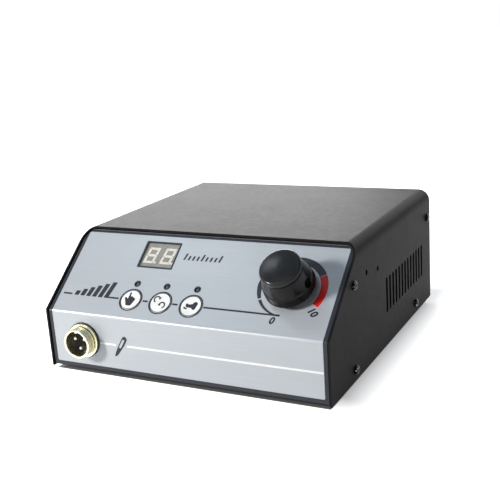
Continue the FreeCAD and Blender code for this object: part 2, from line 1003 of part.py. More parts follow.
def switch_plunger(x):
    top = board_face + switch_height
    bottom = board_face + switch_body - plunger_seat
    profile = [(0, bottom), (plunger_radius, bottom), (plunger_radius, top, -plunger_bevel), (0, top)]
    return on_slant(turned(profile, x, key_up))


def key_switches():
    top = board_face + switch_body
    bodies = []
    for x in key_places:
        body = plate(rounded(switch_side, switch_side, switch_corner, x, key_up), board_face, top)
        floor = top - plunger_seat - key_travel - key_end_gap
        bodies.append(on_slant(body.cut(disc(plunger_radius + plunger_gap, floor, top, x, key_up))))
    return bodies


def indicator_lamps():
    top = -lamp_sink
    bottom = top - lamp_length
    lamps = []
    for x in key_places:
        lamp = turned([(0, bottom), (lamp_radius, bottom), (lamp_radius, top, -lamp_bevel), (0, top)])
        for side in (-0.5, 0.5):
            lamp = lamp.fuse(box(lead_side, lead_side, board_face, bottom, side * lead_pitch, 0))
        lamp.translate(V(x, lamp_up, 0))
        lamps.append(on_slant(lamp))
    return lamps


def speed_knob():
    corners = [
        (0, knob_height - cap_plug_depth - cap_fit),
        (0, shaft_top + cap_fit),
        (shaft_radius + shaft_gap, shaft_top + cap_fit),
        (shaft_radius + shaft_gap, knob_relief_height),
        (knob_relief_radius, knob_relief_height),
        (knob_relief_radius, knob_recess_height),
        (knob_recess_radius, knob_recess_height),
        (knob_recess_radius, knob_lift),
        (skirt_base_radius, knob_lift, -skirt_bevel),
        (skirt_top_radius, skirt_height, skirt_round),
        (knob_low_radius, knob_step_height),
        (knob_high_radius, knob_height, -cap_bevel),
        (cap_plug_radius + cap_fit, knob_height),
        (cap_plug_radius + cap_fit, knob_height - cap_plug_depth - cap_fit),
    ]
    body = turned(corners)
    body = body.cut(knob_radial_hole(set_screw_radius + thread_gap, 0, skirt_base_radius))
    body = body.cut(knob_radial_hole(set_recess_radius, set_recess_floor(), skirt_base_radius + beyond))
    body.translate(V(knob_x, knob_up, 0))
    return on_slant(body)


def side_radius_at(height):
    """The radius of the knob's tapered side at a height above its step."""
    share = (height - knob_step_height) / (knob_height - knob_step_height)
    return knob_low_radius + share * (knob_high_radius - knob_low_radius)


def set_recess_floor():
    return side_radius_at(set_screw_height) - set_recess_depth


def knob_radial_hole(radius, start, end):
    """A hole across the knob's axis, on the set screw's line."""
    turn = math.radians(set_screw_angle)
    out = V(math.cos(turn), math.sin(turn), 0)
    return Part.makeCylinder(radius, end - start, V(0, 0, set_screw_height) + out * start, out)


def knob_cap():
    """A plug that fills the knob's top, with a neck under its rim and a slightly domed face."""
    seat = knob_height + neck
    side_top = seat + cap_side
    edge_top = side_top + cap_edge
    rim = cap_radius - cap_edge
    profile = outline(
        [
            (0, knob_height - cap_plug_depth),
            (cap_plug_radius, knob_height - cap_plug_depth),
            (cap_plug_radius, seat),
            (cap_radius, seat, -cap_bevel),
            (cap_radius, edge_top, cap_round),
            (0, edge_top),
        ],
        upright,
    )
    body = Part.Face(profile).revolve(V(0, 0, 0), V(0, 0, 1), 360)
    dome_radius = (rim**2 + cap_crown**2) / (2 * cap_crown)
    dome = Part.makeSphere(dome_radius, V(0, 0, edge_top + cap_crown - dome_radius))
    body = body.fuse(dome.common(disc(rim, side_top, edge_top + cap_crown))).removeSplitter()
    body.translate(V(knob_x, knob_up, 0))
    return on_slant(body)


def knob_set_screw():
    turn = math.radians(set_screw_angle)
    out = V(math.cos(turn), math.sin(turn), 0)
    foot = V(0, 0, set_screw_height) + out * shaft_flat
    length = set_recess_floor() - set_screw_sink - shaft_flat
    body = Part.makeCylinder(set_screw_radius, length, foot, out)
    end = foot + out * length
    socket = hexagon(2 * set_screw_hex, -set_screw_hex_depth, beyond)
    socket.Placement = FreeCAD.Placement(end, FreeCAD.Rotation(V(0, 0, 1), out))
    body = body.cut(socket)
    body.translate(V(knob_x, knob_up, 0))
    return on_slant(body)


def pot_shaft():
    body = disc(shaft_radius, -shaft_tail, shaft_top)
    width = 2 * shaft_radius
    off = box(width, 2 * width, shaft_flat_low, shaft_top + beyond, shaft_flat + shaft_radius, 0)
    off.rotate(V(0, 0, 0), V(0, 0, 1), set_screw_angle)
    body = body.cut(off)
    body.translate(V(knob_x, knob_up, 0))
    return on_slant(body)


def pot_body():
    low = panel_back - pot_body_length
    bore = shaft_radius + shaft_gap
    corners = [
        (0, low),
        (pot_radius, low, -pot_bevel),
        (pot_radius, panel_back),
        (bushing_radius, panel_back),
        (bushing_radius, bushing_height, -bushing_bevel),
        (bore, bushing_height),
        (bore, -shaft_tail - shaft_gap),
        (0, -shaft_tail - shaft_gap),
    ]
    body = turned(corners)
    lug_low = low + lug_lift
    for x in (-lug_pitch, 0, lug_pitch):
        edge = -math.sqrt(pot_radius**2 - x**2)
        middle = edge + (lug_root - lug_length) / 2
        lug = box(lug_width, lug_root + lug_length, lug_low, lug_low + lug_thickness, x, middle)
        body = body.fuse(lug)
    body.translate(V(knob_x, knob_up, 0))
    return on_slant(body)


def pot_washer():
    hole = bushing_radius + bushing_play
    return on_slant(ring(pot_washer_radius, hole, 0, pot_washer_thickness, knob_x, knob_up))


def pot_nut():
    low = pot_washer_thickness
    high = low + pot_nut_thickness
    return on_slant(hex_nut(pot_nut_flats, bushing_radius + thread_gap, low, high, knob_x, knob_up))


def socket_shell():
    seat = socket_washer + socket_flange
    corners = [
        (socket_bore_radius, -socket_sleeve_length),
        (socket_sleeve_radius, -socket_sleeve_length),
        (socket_sleeve_radius, socket_washer),
        (socket_flange_radius, socket_washer),
        (socket_flange_radius, seat, -socket_flange_bevel),
        (socket_barrel_radius, seat),
        (socket_barrel_radius, socket_reach, -socket_rim_bevel),
        (socket_bore_radius, socket_reach, -socket_rim_bevel),
    ]
    body = turned(corners)
    rib_low = insert_face + snug
    rib_high = socket_reach - 2 * socket_rim_bevel
    rib = box(key_rib_width, 2 * key_rib_depth, rib_low, rib_high, 0, socket_bore_radius)
    body = body.fuse(rib.common(disc((socket_bore_radius + socket_sleeve_radius) / 2, rib_low, rib_high)))
    body.translate(V(socket_x, socket_z, 0))
    return on_front(body)


def socket_rubber_washer():
    hole = socket_sleeve_radius + socket_play
    return on_front(ring(socket_washer_radius, hole, 0, socket_washer, socket_x, socket_z))


def socket_nut_piece():
    low = panel_back - socket_nut
    hole = socket_sleeve_radius + thread_gap
    return on_front(hex_nut(socket_nut_flats, hole, low, panel_back, socket_x, socket_z))


def socket_insert():
    body = disc(socket_bore_radius - insert_gap, insert_back, insert_face)
    for x, y in contact_places():
        body = body.cut(disc(contact_radius + snug, insert_back, insert_face, x, y))
    body.translate(V(socket_x, socket_z, 0))
    return on_front(body)


def socket_contacts():
    contacts = []
    profile = [
        (0, contact_tail),
        (contact_radius, contact_tail),
        (contact_radius, contact_tip, -contact_bevel),
        (0, contact_tip),
    ]
    for x, y in contact_places():
        pin = turned(profile)
        pin.translate(V(socket_x + x, socket_z + y, 0))
        contacts.append(on_front(pin))
    return contacts


def inlet_outline(width, height, corner, x, y):
    """A rectangle with its two lower corners cut off."""
    across = width / 2
    along = height / 2
    return [
        (x - across + corner, y - along),
        (x + across - corner, y - along),
        (x + across, y - along + corner),
        (x + across, y + along),
        (x - across, y + along),
        (x - across, y - along + corner),
    ]


def blade_places():
    """The x and y of the inlet's three blades, seen from behind, with the middle one raised."""
    return [(-inlet_x - blade_pitch / 2, 0), (-inlet_x, blade_raise), (-inlet_x + blade_pitch / 2, 0)]


def power_inlet():
    x = -inlet_x
    z = rear_row_z
    flange = rounded(inlet_flange_width, inlet_flange_height, inlet_flange_corner, x, z)
    body = plate(flange, 0, inlet_flange)
    barrel = rounded(inlet_body_width, inlet_body_height, inlet_body_corner, x, z)
    body = body.fuse(plate(barrel, -inlet_body_depth, 0))
    mouth = inlet_outline(inlet_mouth_width, inlet_mouth_height, inlet_corner, x, z)
    body = body.cut(plate(mouth, inlet_flange - inlet_mouth_depth, inlet_flange))
    for hole in holes(inlet_screw_places(), screw_radius + screw_play, 0, inlet_flange):
        body = body.cut(hole)
    for blade_x, raised in blade_places():
        width = blade_width + 2 * snug
        height = blade_height + 2 * snug
        body = body.cut(box(width, height, -inlet_body_depth, inlet_flange, blade_x, z + raised))
    return on_rear(body)


def inlet_blades():
    blades = []
    for x, raised in blade_places():
        z = rear_row_z + raised
        corners = rounded(blade_width, blade_height, blade_corner, x, z)
        blade = plate(corners, -inlet_body_depth, inlet_flange - blade_sink)
        tab = box(tab_thickness, tab_width, -inlet_body_depth - tab_length, -inlet_body_depth, x, z)
        blades.append(on_rear(blade.fuse(tab)))
    return blades


def inlet_screw_places():
    return [(-inlet_x + side * inlet_screw_pitch / 2, rear_row_z) for side in (-1, 1)]


def inlet_screws():
    length = inlet_flange + chassis_sheet + nut_thickness + screw_end
    return [on_rear(pan_screw(length, x, y, inlet_flange)) for x, y in inlet_screw_places()]


def switch_housing():
    x = -rocker_x
    z = rear_row_z
    bezel = rounded(rocker_bezel_width, rocker_bezel_height, rocker_bezel_corner, x, z)
    body = plate(bezel, 0, rocker_bezel)
    body = body.fuse(box(rocker_body_width, rocker_body_height, -rocker_body_depth, 0, x, z))
    well_width = rocker_width + 2 * rocker_side_gap
    well_height = 2 * (rocker_end_radius + rocker_end_gap)
    body = body.cut(box(well_width, well_height, -rocker_pivot_depth - rocker_floor, rocker_bezel, x, z))
    reach = rocker_width / 2 + rocker_pin_reach + rocker_side_gap
    start = V(x - reach, z, -rocker_pivot_depth)
    body = body.cut(Part.makeCylinder(rocker_pin_radius + rocker_pin_gap, 2 * reach, start, V(1, 0, 0)))
    return on_rear(body)


def switch_rocker():
    half = rocker_end_radius + beyond
    profile = [
        (-half, -rocker_bottom),
        (half, -rocker_bottom),
        (half, rocker_horn),
        (0, rocker_ridge, rocker_ridge_radius),
        (-half, rocker_horn),
    ]
    body = bar_along_x(profile, -rocker_width / 2, rocker_width / 2)
    ends = Part.makeCylinder(rocker_end_radius, rocker_width, V(-rocker_width / 2, 0, 0), V(1, 0, 0))
    body = body.common(ends)
    reach = rocker_width / 2 + rocker_pin_reach
    body = body.fuse(Part.makeCylinder(rocker_pin_radius, 2 * reach, V(-reach, 0, 0), V(1, 0, 0)))
    body.rotate(V(0, 0, 0), V(1, 0, 0), rocker_swing / 2)
    body.translate(V(-rocker_x, rear_row_z, -rocker_pivot_depth))
    return on_rear(body)


def switch_tabs():
    tabs = []
    top = -rocker_body_depth
    for side in (-0.5, 0.5):
        z = rear_row_z + side * rocker_body_height / 2
        tabs.append(on_rear(box(tab_width, tab_thickness, top - tab_length, top, -rocker_x, z)))
    return tabs


def fuse_holder():
    bore_end = fuse_flange + fuse_grip - fuse_stem_depth - fuse_length - fuse_cap_gap
    corners = [
        (0, -fuse_body_depth),
        (fuse_body_radius, -fuse_body_depth, -fuse_bevel),
        (fuse_body_radius, 0),
        (fuse_flange_radius, 0),
        (fuse_flange_radius, fuse_flange, -fuse_bevel),
        (fuse_bore_radius, fuse_flange),
        (fuse_bore_radius, bore_end),
        (0, bore_end),
    ]
    return on_rear(turned(corners, -fuse_x, rear_row_z))


def fuse_nut():
    low = -chassis_sheet - fuse_nut_thickness
    hole = fuse_body_radius + thread_gap
    return on_rear(hex_nut(fuse_nut_flats, hole, low, -chassis_sheet, -fuse_x, rear_row_z))


def fuse_cap():
    low = fuse_flange + fuse_cap_gap
    top = low + fuse_cap_height
    foot = fuse_flange - fuse_stem_depth
    stem = fuse_bore_radius - fuse_cap_gap
    corners = [
        (0, foot + fuse_grip),
        (fuse_radius + snug, foot + fuse_grip),
        (fuse_radius + snug, foot),
        (stem, foot),
        (stem, low),
        (fuse_cap_radius, low),
        (fuse_cap_radius - fuse_cap_taper, top, -fuse_cap_bevel),
        (0, top),
    ]
    body = turned(corners)
    body = body.cut(box(fuse_slot_length, fuse_slot_width, top - fuse_slot_depth, top))
    for number in range(fuse_groove_count):
        turn = math.radians(360 / fuse_groove_count * number)
        x = fuse_groove_circle * math.cos(turn)
        y = fuse_groove_circle * math.sin(turn)
        body = body.cut(disc(fuse_groove_radius, low + fuse_groove_lift, top, x, y))
    body.translate(V(-fuse_x, rear_row_z, 0))
    return on_rear(body)


def fuse():
    top = fuse_flange - fuse_stem_depth + fuse_grip
    return on_rear(disc(fuse_radius, top - fuse_length, top, -fuse_x, rear_row_z))


def pedal_jack():
    low = -chassis_sheet - jack_body_depth
    body = plate(rounded(jack_body_side, jack_body_side, jack_body_corner), low, -chassis_sheet)
    body = body.fuse(disc(jack_bushing_radius, -chassis_sheet, jack_bushing_height))
    body = body.cut(disc(jack_bore_radius, -jack_bore_depth, jack_bushing_height))
    body.translate(V(-jack_x, rear_row_z, 0))
    return on_rear(body)


def pedal_jack_nut():
    hole = jack_bushing_radius + thread_gap
    return on_rear(hex_nut(jack_nut_flats, hole, 0, jack_nut_thickness, -jack_x, rear_row_z))


def core_floor():
    """The transformer stands on the bottom sheet."""
    return chassis_sheet


def transformer_core():
    low = core_floor()
    body = box(core_width, core_stack, low, low + core_height, core_x, core_y)
    middle = low + core_height / 2
    across = core_limb / 2 + core_window_width / 2
    for side in (-1, 1):
        window = box(
            core_window_width,
            core_stack,
            middle - core_window_height / 2,
            middle + core_window_height / 2,
            core_x + side * across,
            core_y,
        )
        body = body.cut(window)
    return body


def transformer_coil():
    middle = core_floor() + core_height / 2
    half = core_window_height / 2 - coil_gap
    depth = core_stack + 2 * (coil_gap + coil_wall)
    turns = rounded(2 * coil_half_width, depth, coil_corner, core_x, core_y)
    body = plate(turns, middle - half, middle + half)
    width = core_limb + 2 * coil_gap
    return body.cut(box(width, core_stack + 2 * coil_gap, middle - half, middle + half, core_x, core_y))


def transformer_strap():
    low = core_floor()
    top = low + core_height
    inner = core_width / 2
    outer = inner + strap
    ear = outer + strap_ear
    corners = [
        (-ear, low),
        (-ear, low + strap),
        (-outer, low + strap),
        (-outer, top + strap, strap_corner),
        (outer, top + strap, strap_corner),
        (outer, low + strap),
        (ear, low + strap),
        (ear, low),
        (inner, low),
        (inner, top),
        (-inner, top),
        (-inner, low),
    ]
    half = strap_width / 2
    body = bar_along_y([(core_x + x, z, *rest) for x, z, *rest in corners], core_y - half, core_y + half)
    for hole in holes(transformer_ear_places(), screw_radius + screw_play, low, low + strap):
        body = body.cut(hole)
    return body


def main_board_edges():
    return main_board_left, main_board_right, main_board_front, main_board_rear


def main_board_top():
    return chassis_sheet + main_board_lift + board


def main_board():
    top = main_board_top()
    return board_plate(*main_board_edges(), top - board, top)


def main_pillars():
    places = pillar_places(*main_board_edges())
    top = main_board_top() - board
    return [ring(pillar_radius, screw_radius + thread_gap, chassis_sheet, top, x, y) for x, y in places]


def board_screws():
    """The screws of both boards, into their pillars."""
    length = board + board_screw_grip
    seat = main_board_top()
    screws = [plain_screw(length, x, y, seat) for x, y in pillar_places(*main_board_edges())]
    seat = board - board_face
    for x, y in pillar_places(*display_board_edges()):
        screws.append(on_slant(upside_down(plain_screw(length, x, -y, seat))))
    return screws


def smoothing_capacitors():
    low = main_board_top()
    top = low + capacitor_height
    profile = [(0, low), (capacitor_radius, low), (capacitor_radius, top, -capacitor_bevel), (0, top)]
    return [turned(profile, *on_main_board(spot)) for spot in capacitor_spots]


def on_main_board(spot):
    """The x and y of a spot given from the board's left and front edges."""
    return main_board_left + spot[0], main_board_front + spot[1]


def block_on_board(size, spot):
    low = main_board_top()
    return box(size[0], size[1], low, low + size[2], *on_main_board(spot))


def bridge_rectifier():
    body = block_on_board(rectifier_size, rectifier_spot)
    top = main_board_top() + rectifier_size[2]
    corner = rectifier_size[0] / 2
    bevel = bar_along_y(
        [(corner - rectifier_bevel, top), (corner, top), (corner, top - rectifier_bevel)],
        -rectifier_size[1],
        rectifier_size[1],
    )
    bevel.translate(V(*on_main_board(rectifier_spot), 0))
    return body.cut(bevel)


def relay():
    return block_on_board(relay_size, relay_spot)


def board_headers():
    headers = []
    for across in header_spots:
        spot = (across, header_inset)
        body = block_on_board(header_size, spot)
        top = main_board_top() + header_size[2]
        width = header_size[0] - 2 * header_wall
        depth = header_size[1] - 2 * header_wall
        room = box(width, depth, top - header_room, top, *on_main_board(spot))
        headers.append(body.cut(room))
    return headers


def sink_face():
    """The x of the heat sink's flat face, and the y of its middle."""
    return main_board_left + sink_inset + sink_fin + sink_base, (main_board_front + main_board_rear) / 2


def heat_sink():
    face, middle = sink_face()
    low = main_board_top()
    body = box(sink_base, sink_length, low, low + sink_height, face - sink_base / 2, middle)
    step = (sink_length - sink_fin_thickness) / (sink_fin_count - 1)
    for number in range(sink_fin_count):
        y = middle + (number - (sink_fin_count - 1) / 2) * step
        fin_x = face - sink_base - sink_fin / 2
        body = body.fuse(box(sink_fin, sink_fin_thickness, low, low + sink_height, fin_x, y))
    return body.removeSplitter()


def power_transistors():
    face, middle = sink_face()
    low = main_board_top()
    transistors = []
    for spot in transistor_spots:
        y = middle + spot
        start = low + transistor_lift
        deep, wide, tall = transistor_size
        body = box(deep, wide, start, start + tall, face + deep / 2, y)
        tab = box(transistor_tab, wide, start, start + transistor_tab_height, face + transistor_tab / 2, y)
        body = body.fuse(tab)
        for number in (-1, 0, 1):
            leg_y = y + number * transistor_leg_pitch
            body = body.fuse(box(transistor_leg, transistor_leg, low, start, face + deep / 2, leg_y))
        transistors.append(body.removeSplitter())
    return transistors


def all_pieces():
    """Every node by name, each a solid or a list of separate solids."""
    pieces = {
        "top_cover": top_cover(),
        "chassis": chassis(),
        "clinch_nuts": clinch_nuts(),
        "front_cover_screws": front_cover_screws(),
        "rear_cover_screws": rear_cover_screws(),
        "rubber_feet": rubber_feet(),
        "bottom_screws": bottom_screws(),
        "screw_nuts": screw_nuts(),
        "front_film": front_film(),
        "display_window": display_window(),
        "display_module": display_module(),
        "display_segments": display_segments(),
        "display_board": display_board(),
        "display_pillars": display_pillars(),
        "key_switches": key_switches(),
        "indicator_lamps": indicator_lamps(),
        "speed_knob": speed_knob(),
        "knob_cap": knob_cap(),
        "knob_set_screw": knob_set_screw(),
        "pot_shaft": pot_shaft(),
        "pot_body": pot_body(),
        "pot_washer": pot_washer(),
        "pot_nut": pot_nut(),
        "socket_shell": socket_shell(),
        "socket_washer": socket_rubber_washer(),
        "socket_nut": socket_nut_piece(),
        "socket_insert": socket_insert(),
        "socket_contacts": socket_contacts(),
        "power_inlet": power_inlet(),
        "inlet_blades": inlet_blades(),
        "inlet_screws": inlet_screws(),
        "switch_housing": switch_housing(),
        "switch_rocker": switch_rocker(),
        "switch_tabs": switch_tabs(),
        "fuse_holder": fuse_holder(),
        "fuse_nut": fuse_nut(),
        "fuse_cap": fuse_cap(),
        "fuse": fuse(),
        "pedal_jack": pedal_jack(),
        "pedal_jack_nut": pedal_jack_nut(),
        "transformer_core": transformer_core(),
        "transformer_coil": transformer_coil(),
        "transformer_strap": transformer_strap(),
        "main_board": main_board(),
        "main_pillars": main_pillars(),
        "board_screws": board_screws(),
        "smoothing_capacitors": smoothing_capacitors(),
        "bridge_rectifier": bridge_rectifier(),
        "relay": relay(),
        "board_headers": board_headers(),
        "heat_sink": heat_sink(),
        "power_transistors": power_transistors(),
    }
    for number, name in enumerate(("hand", "direction", "foot")):
        x = key_places[number]
        pieces["key_" + name] = key_cap(x)
        pieces["plunger_" + name] = switch_plunger(x)
    return pieces


def model_shift():
    """From the cover's lower front edge to the bench under the middle of the overall box."""
    front = edge_recess - socket_reach
    rear = rear_face + fuse_flange + fuse_cap_gap + fuse_cap_height
    return V(0, -(front + rear) / 2, foot_height)


def main():
    os.makedirs("parts", exist_ok=True)
    shift = model_shift()
    for name, piece in all_pieces().items():
        shape = Part.makeCompound(piece) if isinstance(piece, list) else piece
        moved = shape.copy()
        moved.translate(shift)
        moved.exportStep("parts/" + name + ".step")


main()
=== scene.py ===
import json
import math

import bmesh
import bpy
from mathutils import Matrix, Vector

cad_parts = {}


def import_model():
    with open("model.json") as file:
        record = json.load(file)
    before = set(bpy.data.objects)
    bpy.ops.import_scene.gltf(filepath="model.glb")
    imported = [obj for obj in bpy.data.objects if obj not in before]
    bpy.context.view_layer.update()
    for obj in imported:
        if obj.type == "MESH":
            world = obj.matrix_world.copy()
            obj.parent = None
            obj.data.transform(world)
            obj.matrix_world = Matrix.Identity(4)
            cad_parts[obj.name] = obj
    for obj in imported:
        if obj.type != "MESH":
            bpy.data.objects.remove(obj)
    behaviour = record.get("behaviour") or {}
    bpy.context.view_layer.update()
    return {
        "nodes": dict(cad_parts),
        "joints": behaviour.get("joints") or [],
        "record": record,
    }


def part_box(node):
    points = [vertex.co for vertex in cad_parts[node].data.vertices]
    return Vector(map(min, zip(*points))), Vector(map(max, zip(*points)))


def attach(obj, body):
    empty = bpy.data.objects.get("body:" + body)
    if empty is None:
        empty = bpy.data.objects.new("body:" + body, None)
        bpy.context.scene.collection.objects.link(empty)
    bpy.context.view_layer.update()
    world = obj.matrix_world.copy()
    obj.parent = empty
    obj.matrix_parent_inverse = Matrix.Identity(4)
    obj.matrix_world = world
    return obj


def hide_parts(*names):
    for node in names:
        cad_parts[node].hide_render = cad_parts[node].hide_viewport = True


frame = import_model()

# The bench-top control unit of a dental micromotor, dressed for the camera. Sizes on the object are in
# millimetres, in the frame of the face that they lie on, and MM turns them into metres.
MM = 0.001

# The photograph's camera, with its place in metres from the middle of the cover's lower front edge
camera_place = (0.27147, -0.41217, 0.21852)
camera_azimuth = 27.77
camera_elevation = 15.42
camera_roll = -3.92
focal_pixels = 861.4
photo_pixels = 500
sensor_width = 36.0
camera_near = 0.01

# Directions, and the faces that carry print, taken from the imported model
RIGHT = Vector((1, 0, 0))
BACK = Vector((0, 1, 0))
HIGH = Vector((0, 0, 1))


def joint(name):
    """The frame's entry for a joint."""
    return next(entry for entry in frame["joints"] if entry["name"] == name)


KNOB = Vector(joint("knob_turn")["pos_m"])
OUT = -Vector(joint("knob_turn")["axis"]).normalized()
UP = Vector((0, OUT.z, -OUT.y))
film_low, film_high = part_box("front_film")
cover_low, cover_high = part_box("top_cover")
rear_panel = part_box("chassis")[1].y
FOLD = KNOB - UP * ((KNOB.y - film_low.y) / UP.y)
FOLD.x = 0
FOLD_ANGLE = math.acos(OUT.dot(-BACK))
fold_radius = 2.6  # outside radius of the film at the fold


def basis(across, along, out, origin):
    """A matrix from millimetres on a face to metres in the row frame."""
    turned = Matrix((across, along, out)).transposed().to_4x4()
    return Matrix.Translation(origin) @ turned @ Matrix.Scale(MM, 4)


SLANT = basis(RIGHT, UP, OUT, FOLD)
FRONT = basis(RIGHT, HIGH, -BACK, Vector((0, film_low.y, cover_low.z)))
REAR = basis(-RIGHT, HIGH, BACK, Vector((0, rear_panel, cover_low.z)))

# Places on the faces: x is from the middle, up is from the fold along the slant, z is from the bottom
knob_up = (KNOB - FOLD).dot(UP) / MM
knob_x = KNOB.x / MM
key_x = {"hand": -39.6, "direction": -17.4, "foot": 4.8}
key_up = 13.9
key_radius = 7.2
key_hole = 7.45  # radius of its hole in the film
key_proud = 0.2
lamp_up = 26.0
lamp_hole = 1.7
window_x = -32.8
window_up = 49.1
window_width = 26.3
window_height = 20.4
socket_low, socket_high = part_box("socket_shell")
socket_x = (socket_low.x + socket_high.x) / 2 / MM
socket_z = ((socket_low.z + socket_high.z) / 2 - cover_low.z) / MM
socket_flange = (socket_high.x - socket_low.x) / 2 / MM
socket_reach = (film_low.y - socket_low.y) / MM
socket_back = (film_low.y - socket_high.y) / MM
socket_barrel = 9.7  # radius over the thread
socket_bore = 8.25
socket_sleeve = 8.9  # radius behind the flange
socket_seat = 2.5  # front of the flange
socket_washer = 1.0
thread_pitch = 1.0
thread_depth = 0.5
fold_z = (FOLD.z - cover_low.z) / MM

# Print
ink_depth = 0.05  # above the face
ink_sink = 0.02  # below it
merge_distance = 1e-5


def srgb(red, green, blue):
    """A linear colour from an eight-bit one."""
    values = []
    for value in (red, green, blue):
        share = value / 255
        values.append(share / 12.92 if share <= 0.04045 else ((share + 0.055) / 1.055) ** 2.4)
    return (*values, 1.0)


# Loops: closed outlines in millimetres
def circle(radius, x=0.0, y=0.0, steps=72):
    """A circle about x, y."""
    turns = [2 * math.pi * number / steps for number in range(steps)]
    return [(x + radius * math.cos(turn), y + radius * math.sin(turn)) for turn in turns]


def arc(radius, start, end, x=0.0, y=0.0, steps=24):
    """Points on an arc, with its angles in degrees."""
    turns = [math.radians(start + (end - start) * number / steps) for number in range(steps + 1)]
    return [(x + radius * math.cos(turn), y + radius * math.sin(turn)) for turn in turns]


def rounded(width, height, radius, x=0.0, y=0.0, steps=6):
    """A rectangle about x, y with round corners."""
    across = width / 2 - radius
    along = height / 2 - radius
    loop = []
    corners = ((across, along), (-across, along), (-across, -along), (across, -along))
    for start, (a, b) in zip((0, 90, 180, 270), corners):
        loop += arc(radius, start, start + 90, x + a, y + b, steps)
    return loop


def rectangle(left, right, low, high):
    """A rectangle between four edges."""
    return [(left, low), (right, low), (right, high), (left, high)]


def centred(half_width, half_height):
    """A rectangle about the origin."""
    return rectangle(-half_width, half_width, -half_height, half_height)


def slanted(loop, lean):
    """The loop leant to the right by lean for each unit of height."""
    return [(x + lean * y, y) for x, y in loop]


def moved(loop, x, y):
    """The loop moved by x, y."""
    return [(x + a, y + b) for a, b in loop]


def smooth(points, steps):
    """A closed loop through the points, as a Catmull-Rom curve."""
    loop = []
    count = len(points)
    for number in range(count):
        before, start, end, after = (
            Vector(points[(number + step) % count]) for step in (-1, 0, 1, 2)
        )
        square = 2 * before - 5 * start + 4 * end - after
        cube = 3 * start - before - 3 * end + after
        for step in range(steps):
            t = step / steps
            loop.append(tuple(0.5 * (2 * start + (end - before) * t + square * t**2 + cube * t**3)))
    return loop


# Meshes and pieces
def filled_mesh(name, loops, thickness):
    """A flat plate with its outline and holes given as loops, from 0 to thickness."""
    curve = bpy.data.curves.new(name, "CURVE")
    curve.dimensions = "2D"
    curve.fill_mode = "BOTH"
    curve.extrude = thickness / 2
    for loop in loops:
        spline = curve.splines.new("POLY")
        spline.points.add(len(loop) - 1)
        for point, (a, b) in zip(spline.points, loop):
            point.co = (a, b, 0, 1)
        spline.use_cyclic_u = True
    drawn = bpy.data.objects.new(name, curve)
    mesh = bpy.data.meshes.new_from_object(drawn)
    bpy.data.objects.remove(drawn)
    bpy.data.curves.remove(curve)
    mesh.transform(Matrix.Translation((0, 0, thickness / 2)))
    shape = bmesh.new()
    shape.from_mesh(mesh)
    bmesh.ops.remove_doubles(shape, verts=shape.verts, dist=merge_distance)
    bmesh.ops.recalc_face_normals(shape, faces=shape.faces)
    shape.to_mesh(mesh)
    shape.free()
    return mesh


def lathe_mesh(name, profile, steps, lift):
    """A solid turned about z from a closed (radius, z) profile. lift(turn, r, z) places each point."""
    shape = bmesh.new()
    rings = []
    for number in range(steps):
        turn = 2 * math.pi * number / steps
        ring = []
        for point in profile:
            radius, z = lift(turn, *point)
            ring.append(shape.verts.new((radius * math.cos(turn), radius * math.sin(turn), z)))
        rings.append(ring)
    count = len(profile)
    for number, ring in enumerate(rings):
        following = rings[(number + 1) % steps]
        for a in range(count):
            b = (a + 1) % count
            shape.faces.new((ring[a], following[a], following[b], ring[b]))
    bmesh.ops.recalc_face_normals(shape, faces=shape.faces)
    mesh = bpy.data.meshes.new(name)
    shape.to_mesh(mesh)
    shape.free()
    return mesh


def shade_by_angle(mesh, degrees=35):
    """Smooth shading, with the edges sharper than the angle kept sharp."""
    shape = bmesh.new()
    shape.from_mesh(mesh)
    limit = math.radians(degrees)
    for edge in shape.edges:
        edge.smooth = len(edge.link_faces) == 2 and edge.calc_face_angle(0) < limit
    for face in shape.faces:
        face.smooth = True
    shape.to_mesh(mesh)
    shape.free()


def add_piece(name, mesh, material, body):
    """A visible piece of the object, in one material, that rides a body."""
    piece = bpy.data.objects.new(name, mesh)
    bpy.context.scene.collection.objects.link(piece)
    mesh.materials.clear()
    mesh.materials.append(material)
    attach(piece, body)
    return piece


def ink_mesh(name, loops, place):
    """A thin layer of ink on a face, sunk a little into it."""
    mesh = filled_mesh(name, loops, ink_depth + ink_sink)
    mesh.transform(place @ Matrix.Translation((0, 0, -ink_sink)))
    return mesh


def printed(name, loops, place, ink_name="slate_ink", body="case"):
    """A piece of ink, which is the film's own dark print unless told otherwise."""
    add_piece(name, ink_mesh(name, loops, place), materials[ink_name], body)


def join_meshes(name, meshes):
    """One mesh of several, which are used up."""
    shape = bmesh.new()
    for mesh in meshes:
        shape.from_mesh(mesh)
        bpy.data.meshes.remove(mesh)
    joined = bpy.data.meshes.new(name)
    shape.to_mesh(joined)
    shape.free()
    return joined


# Materials. Sizes in them are in metres, such as a noise's features and a bump's height.
MIX_FIRST = 6  # the colour sockets of a Mix node
MIX_SECOND = 7
MIX_RESULT = 2


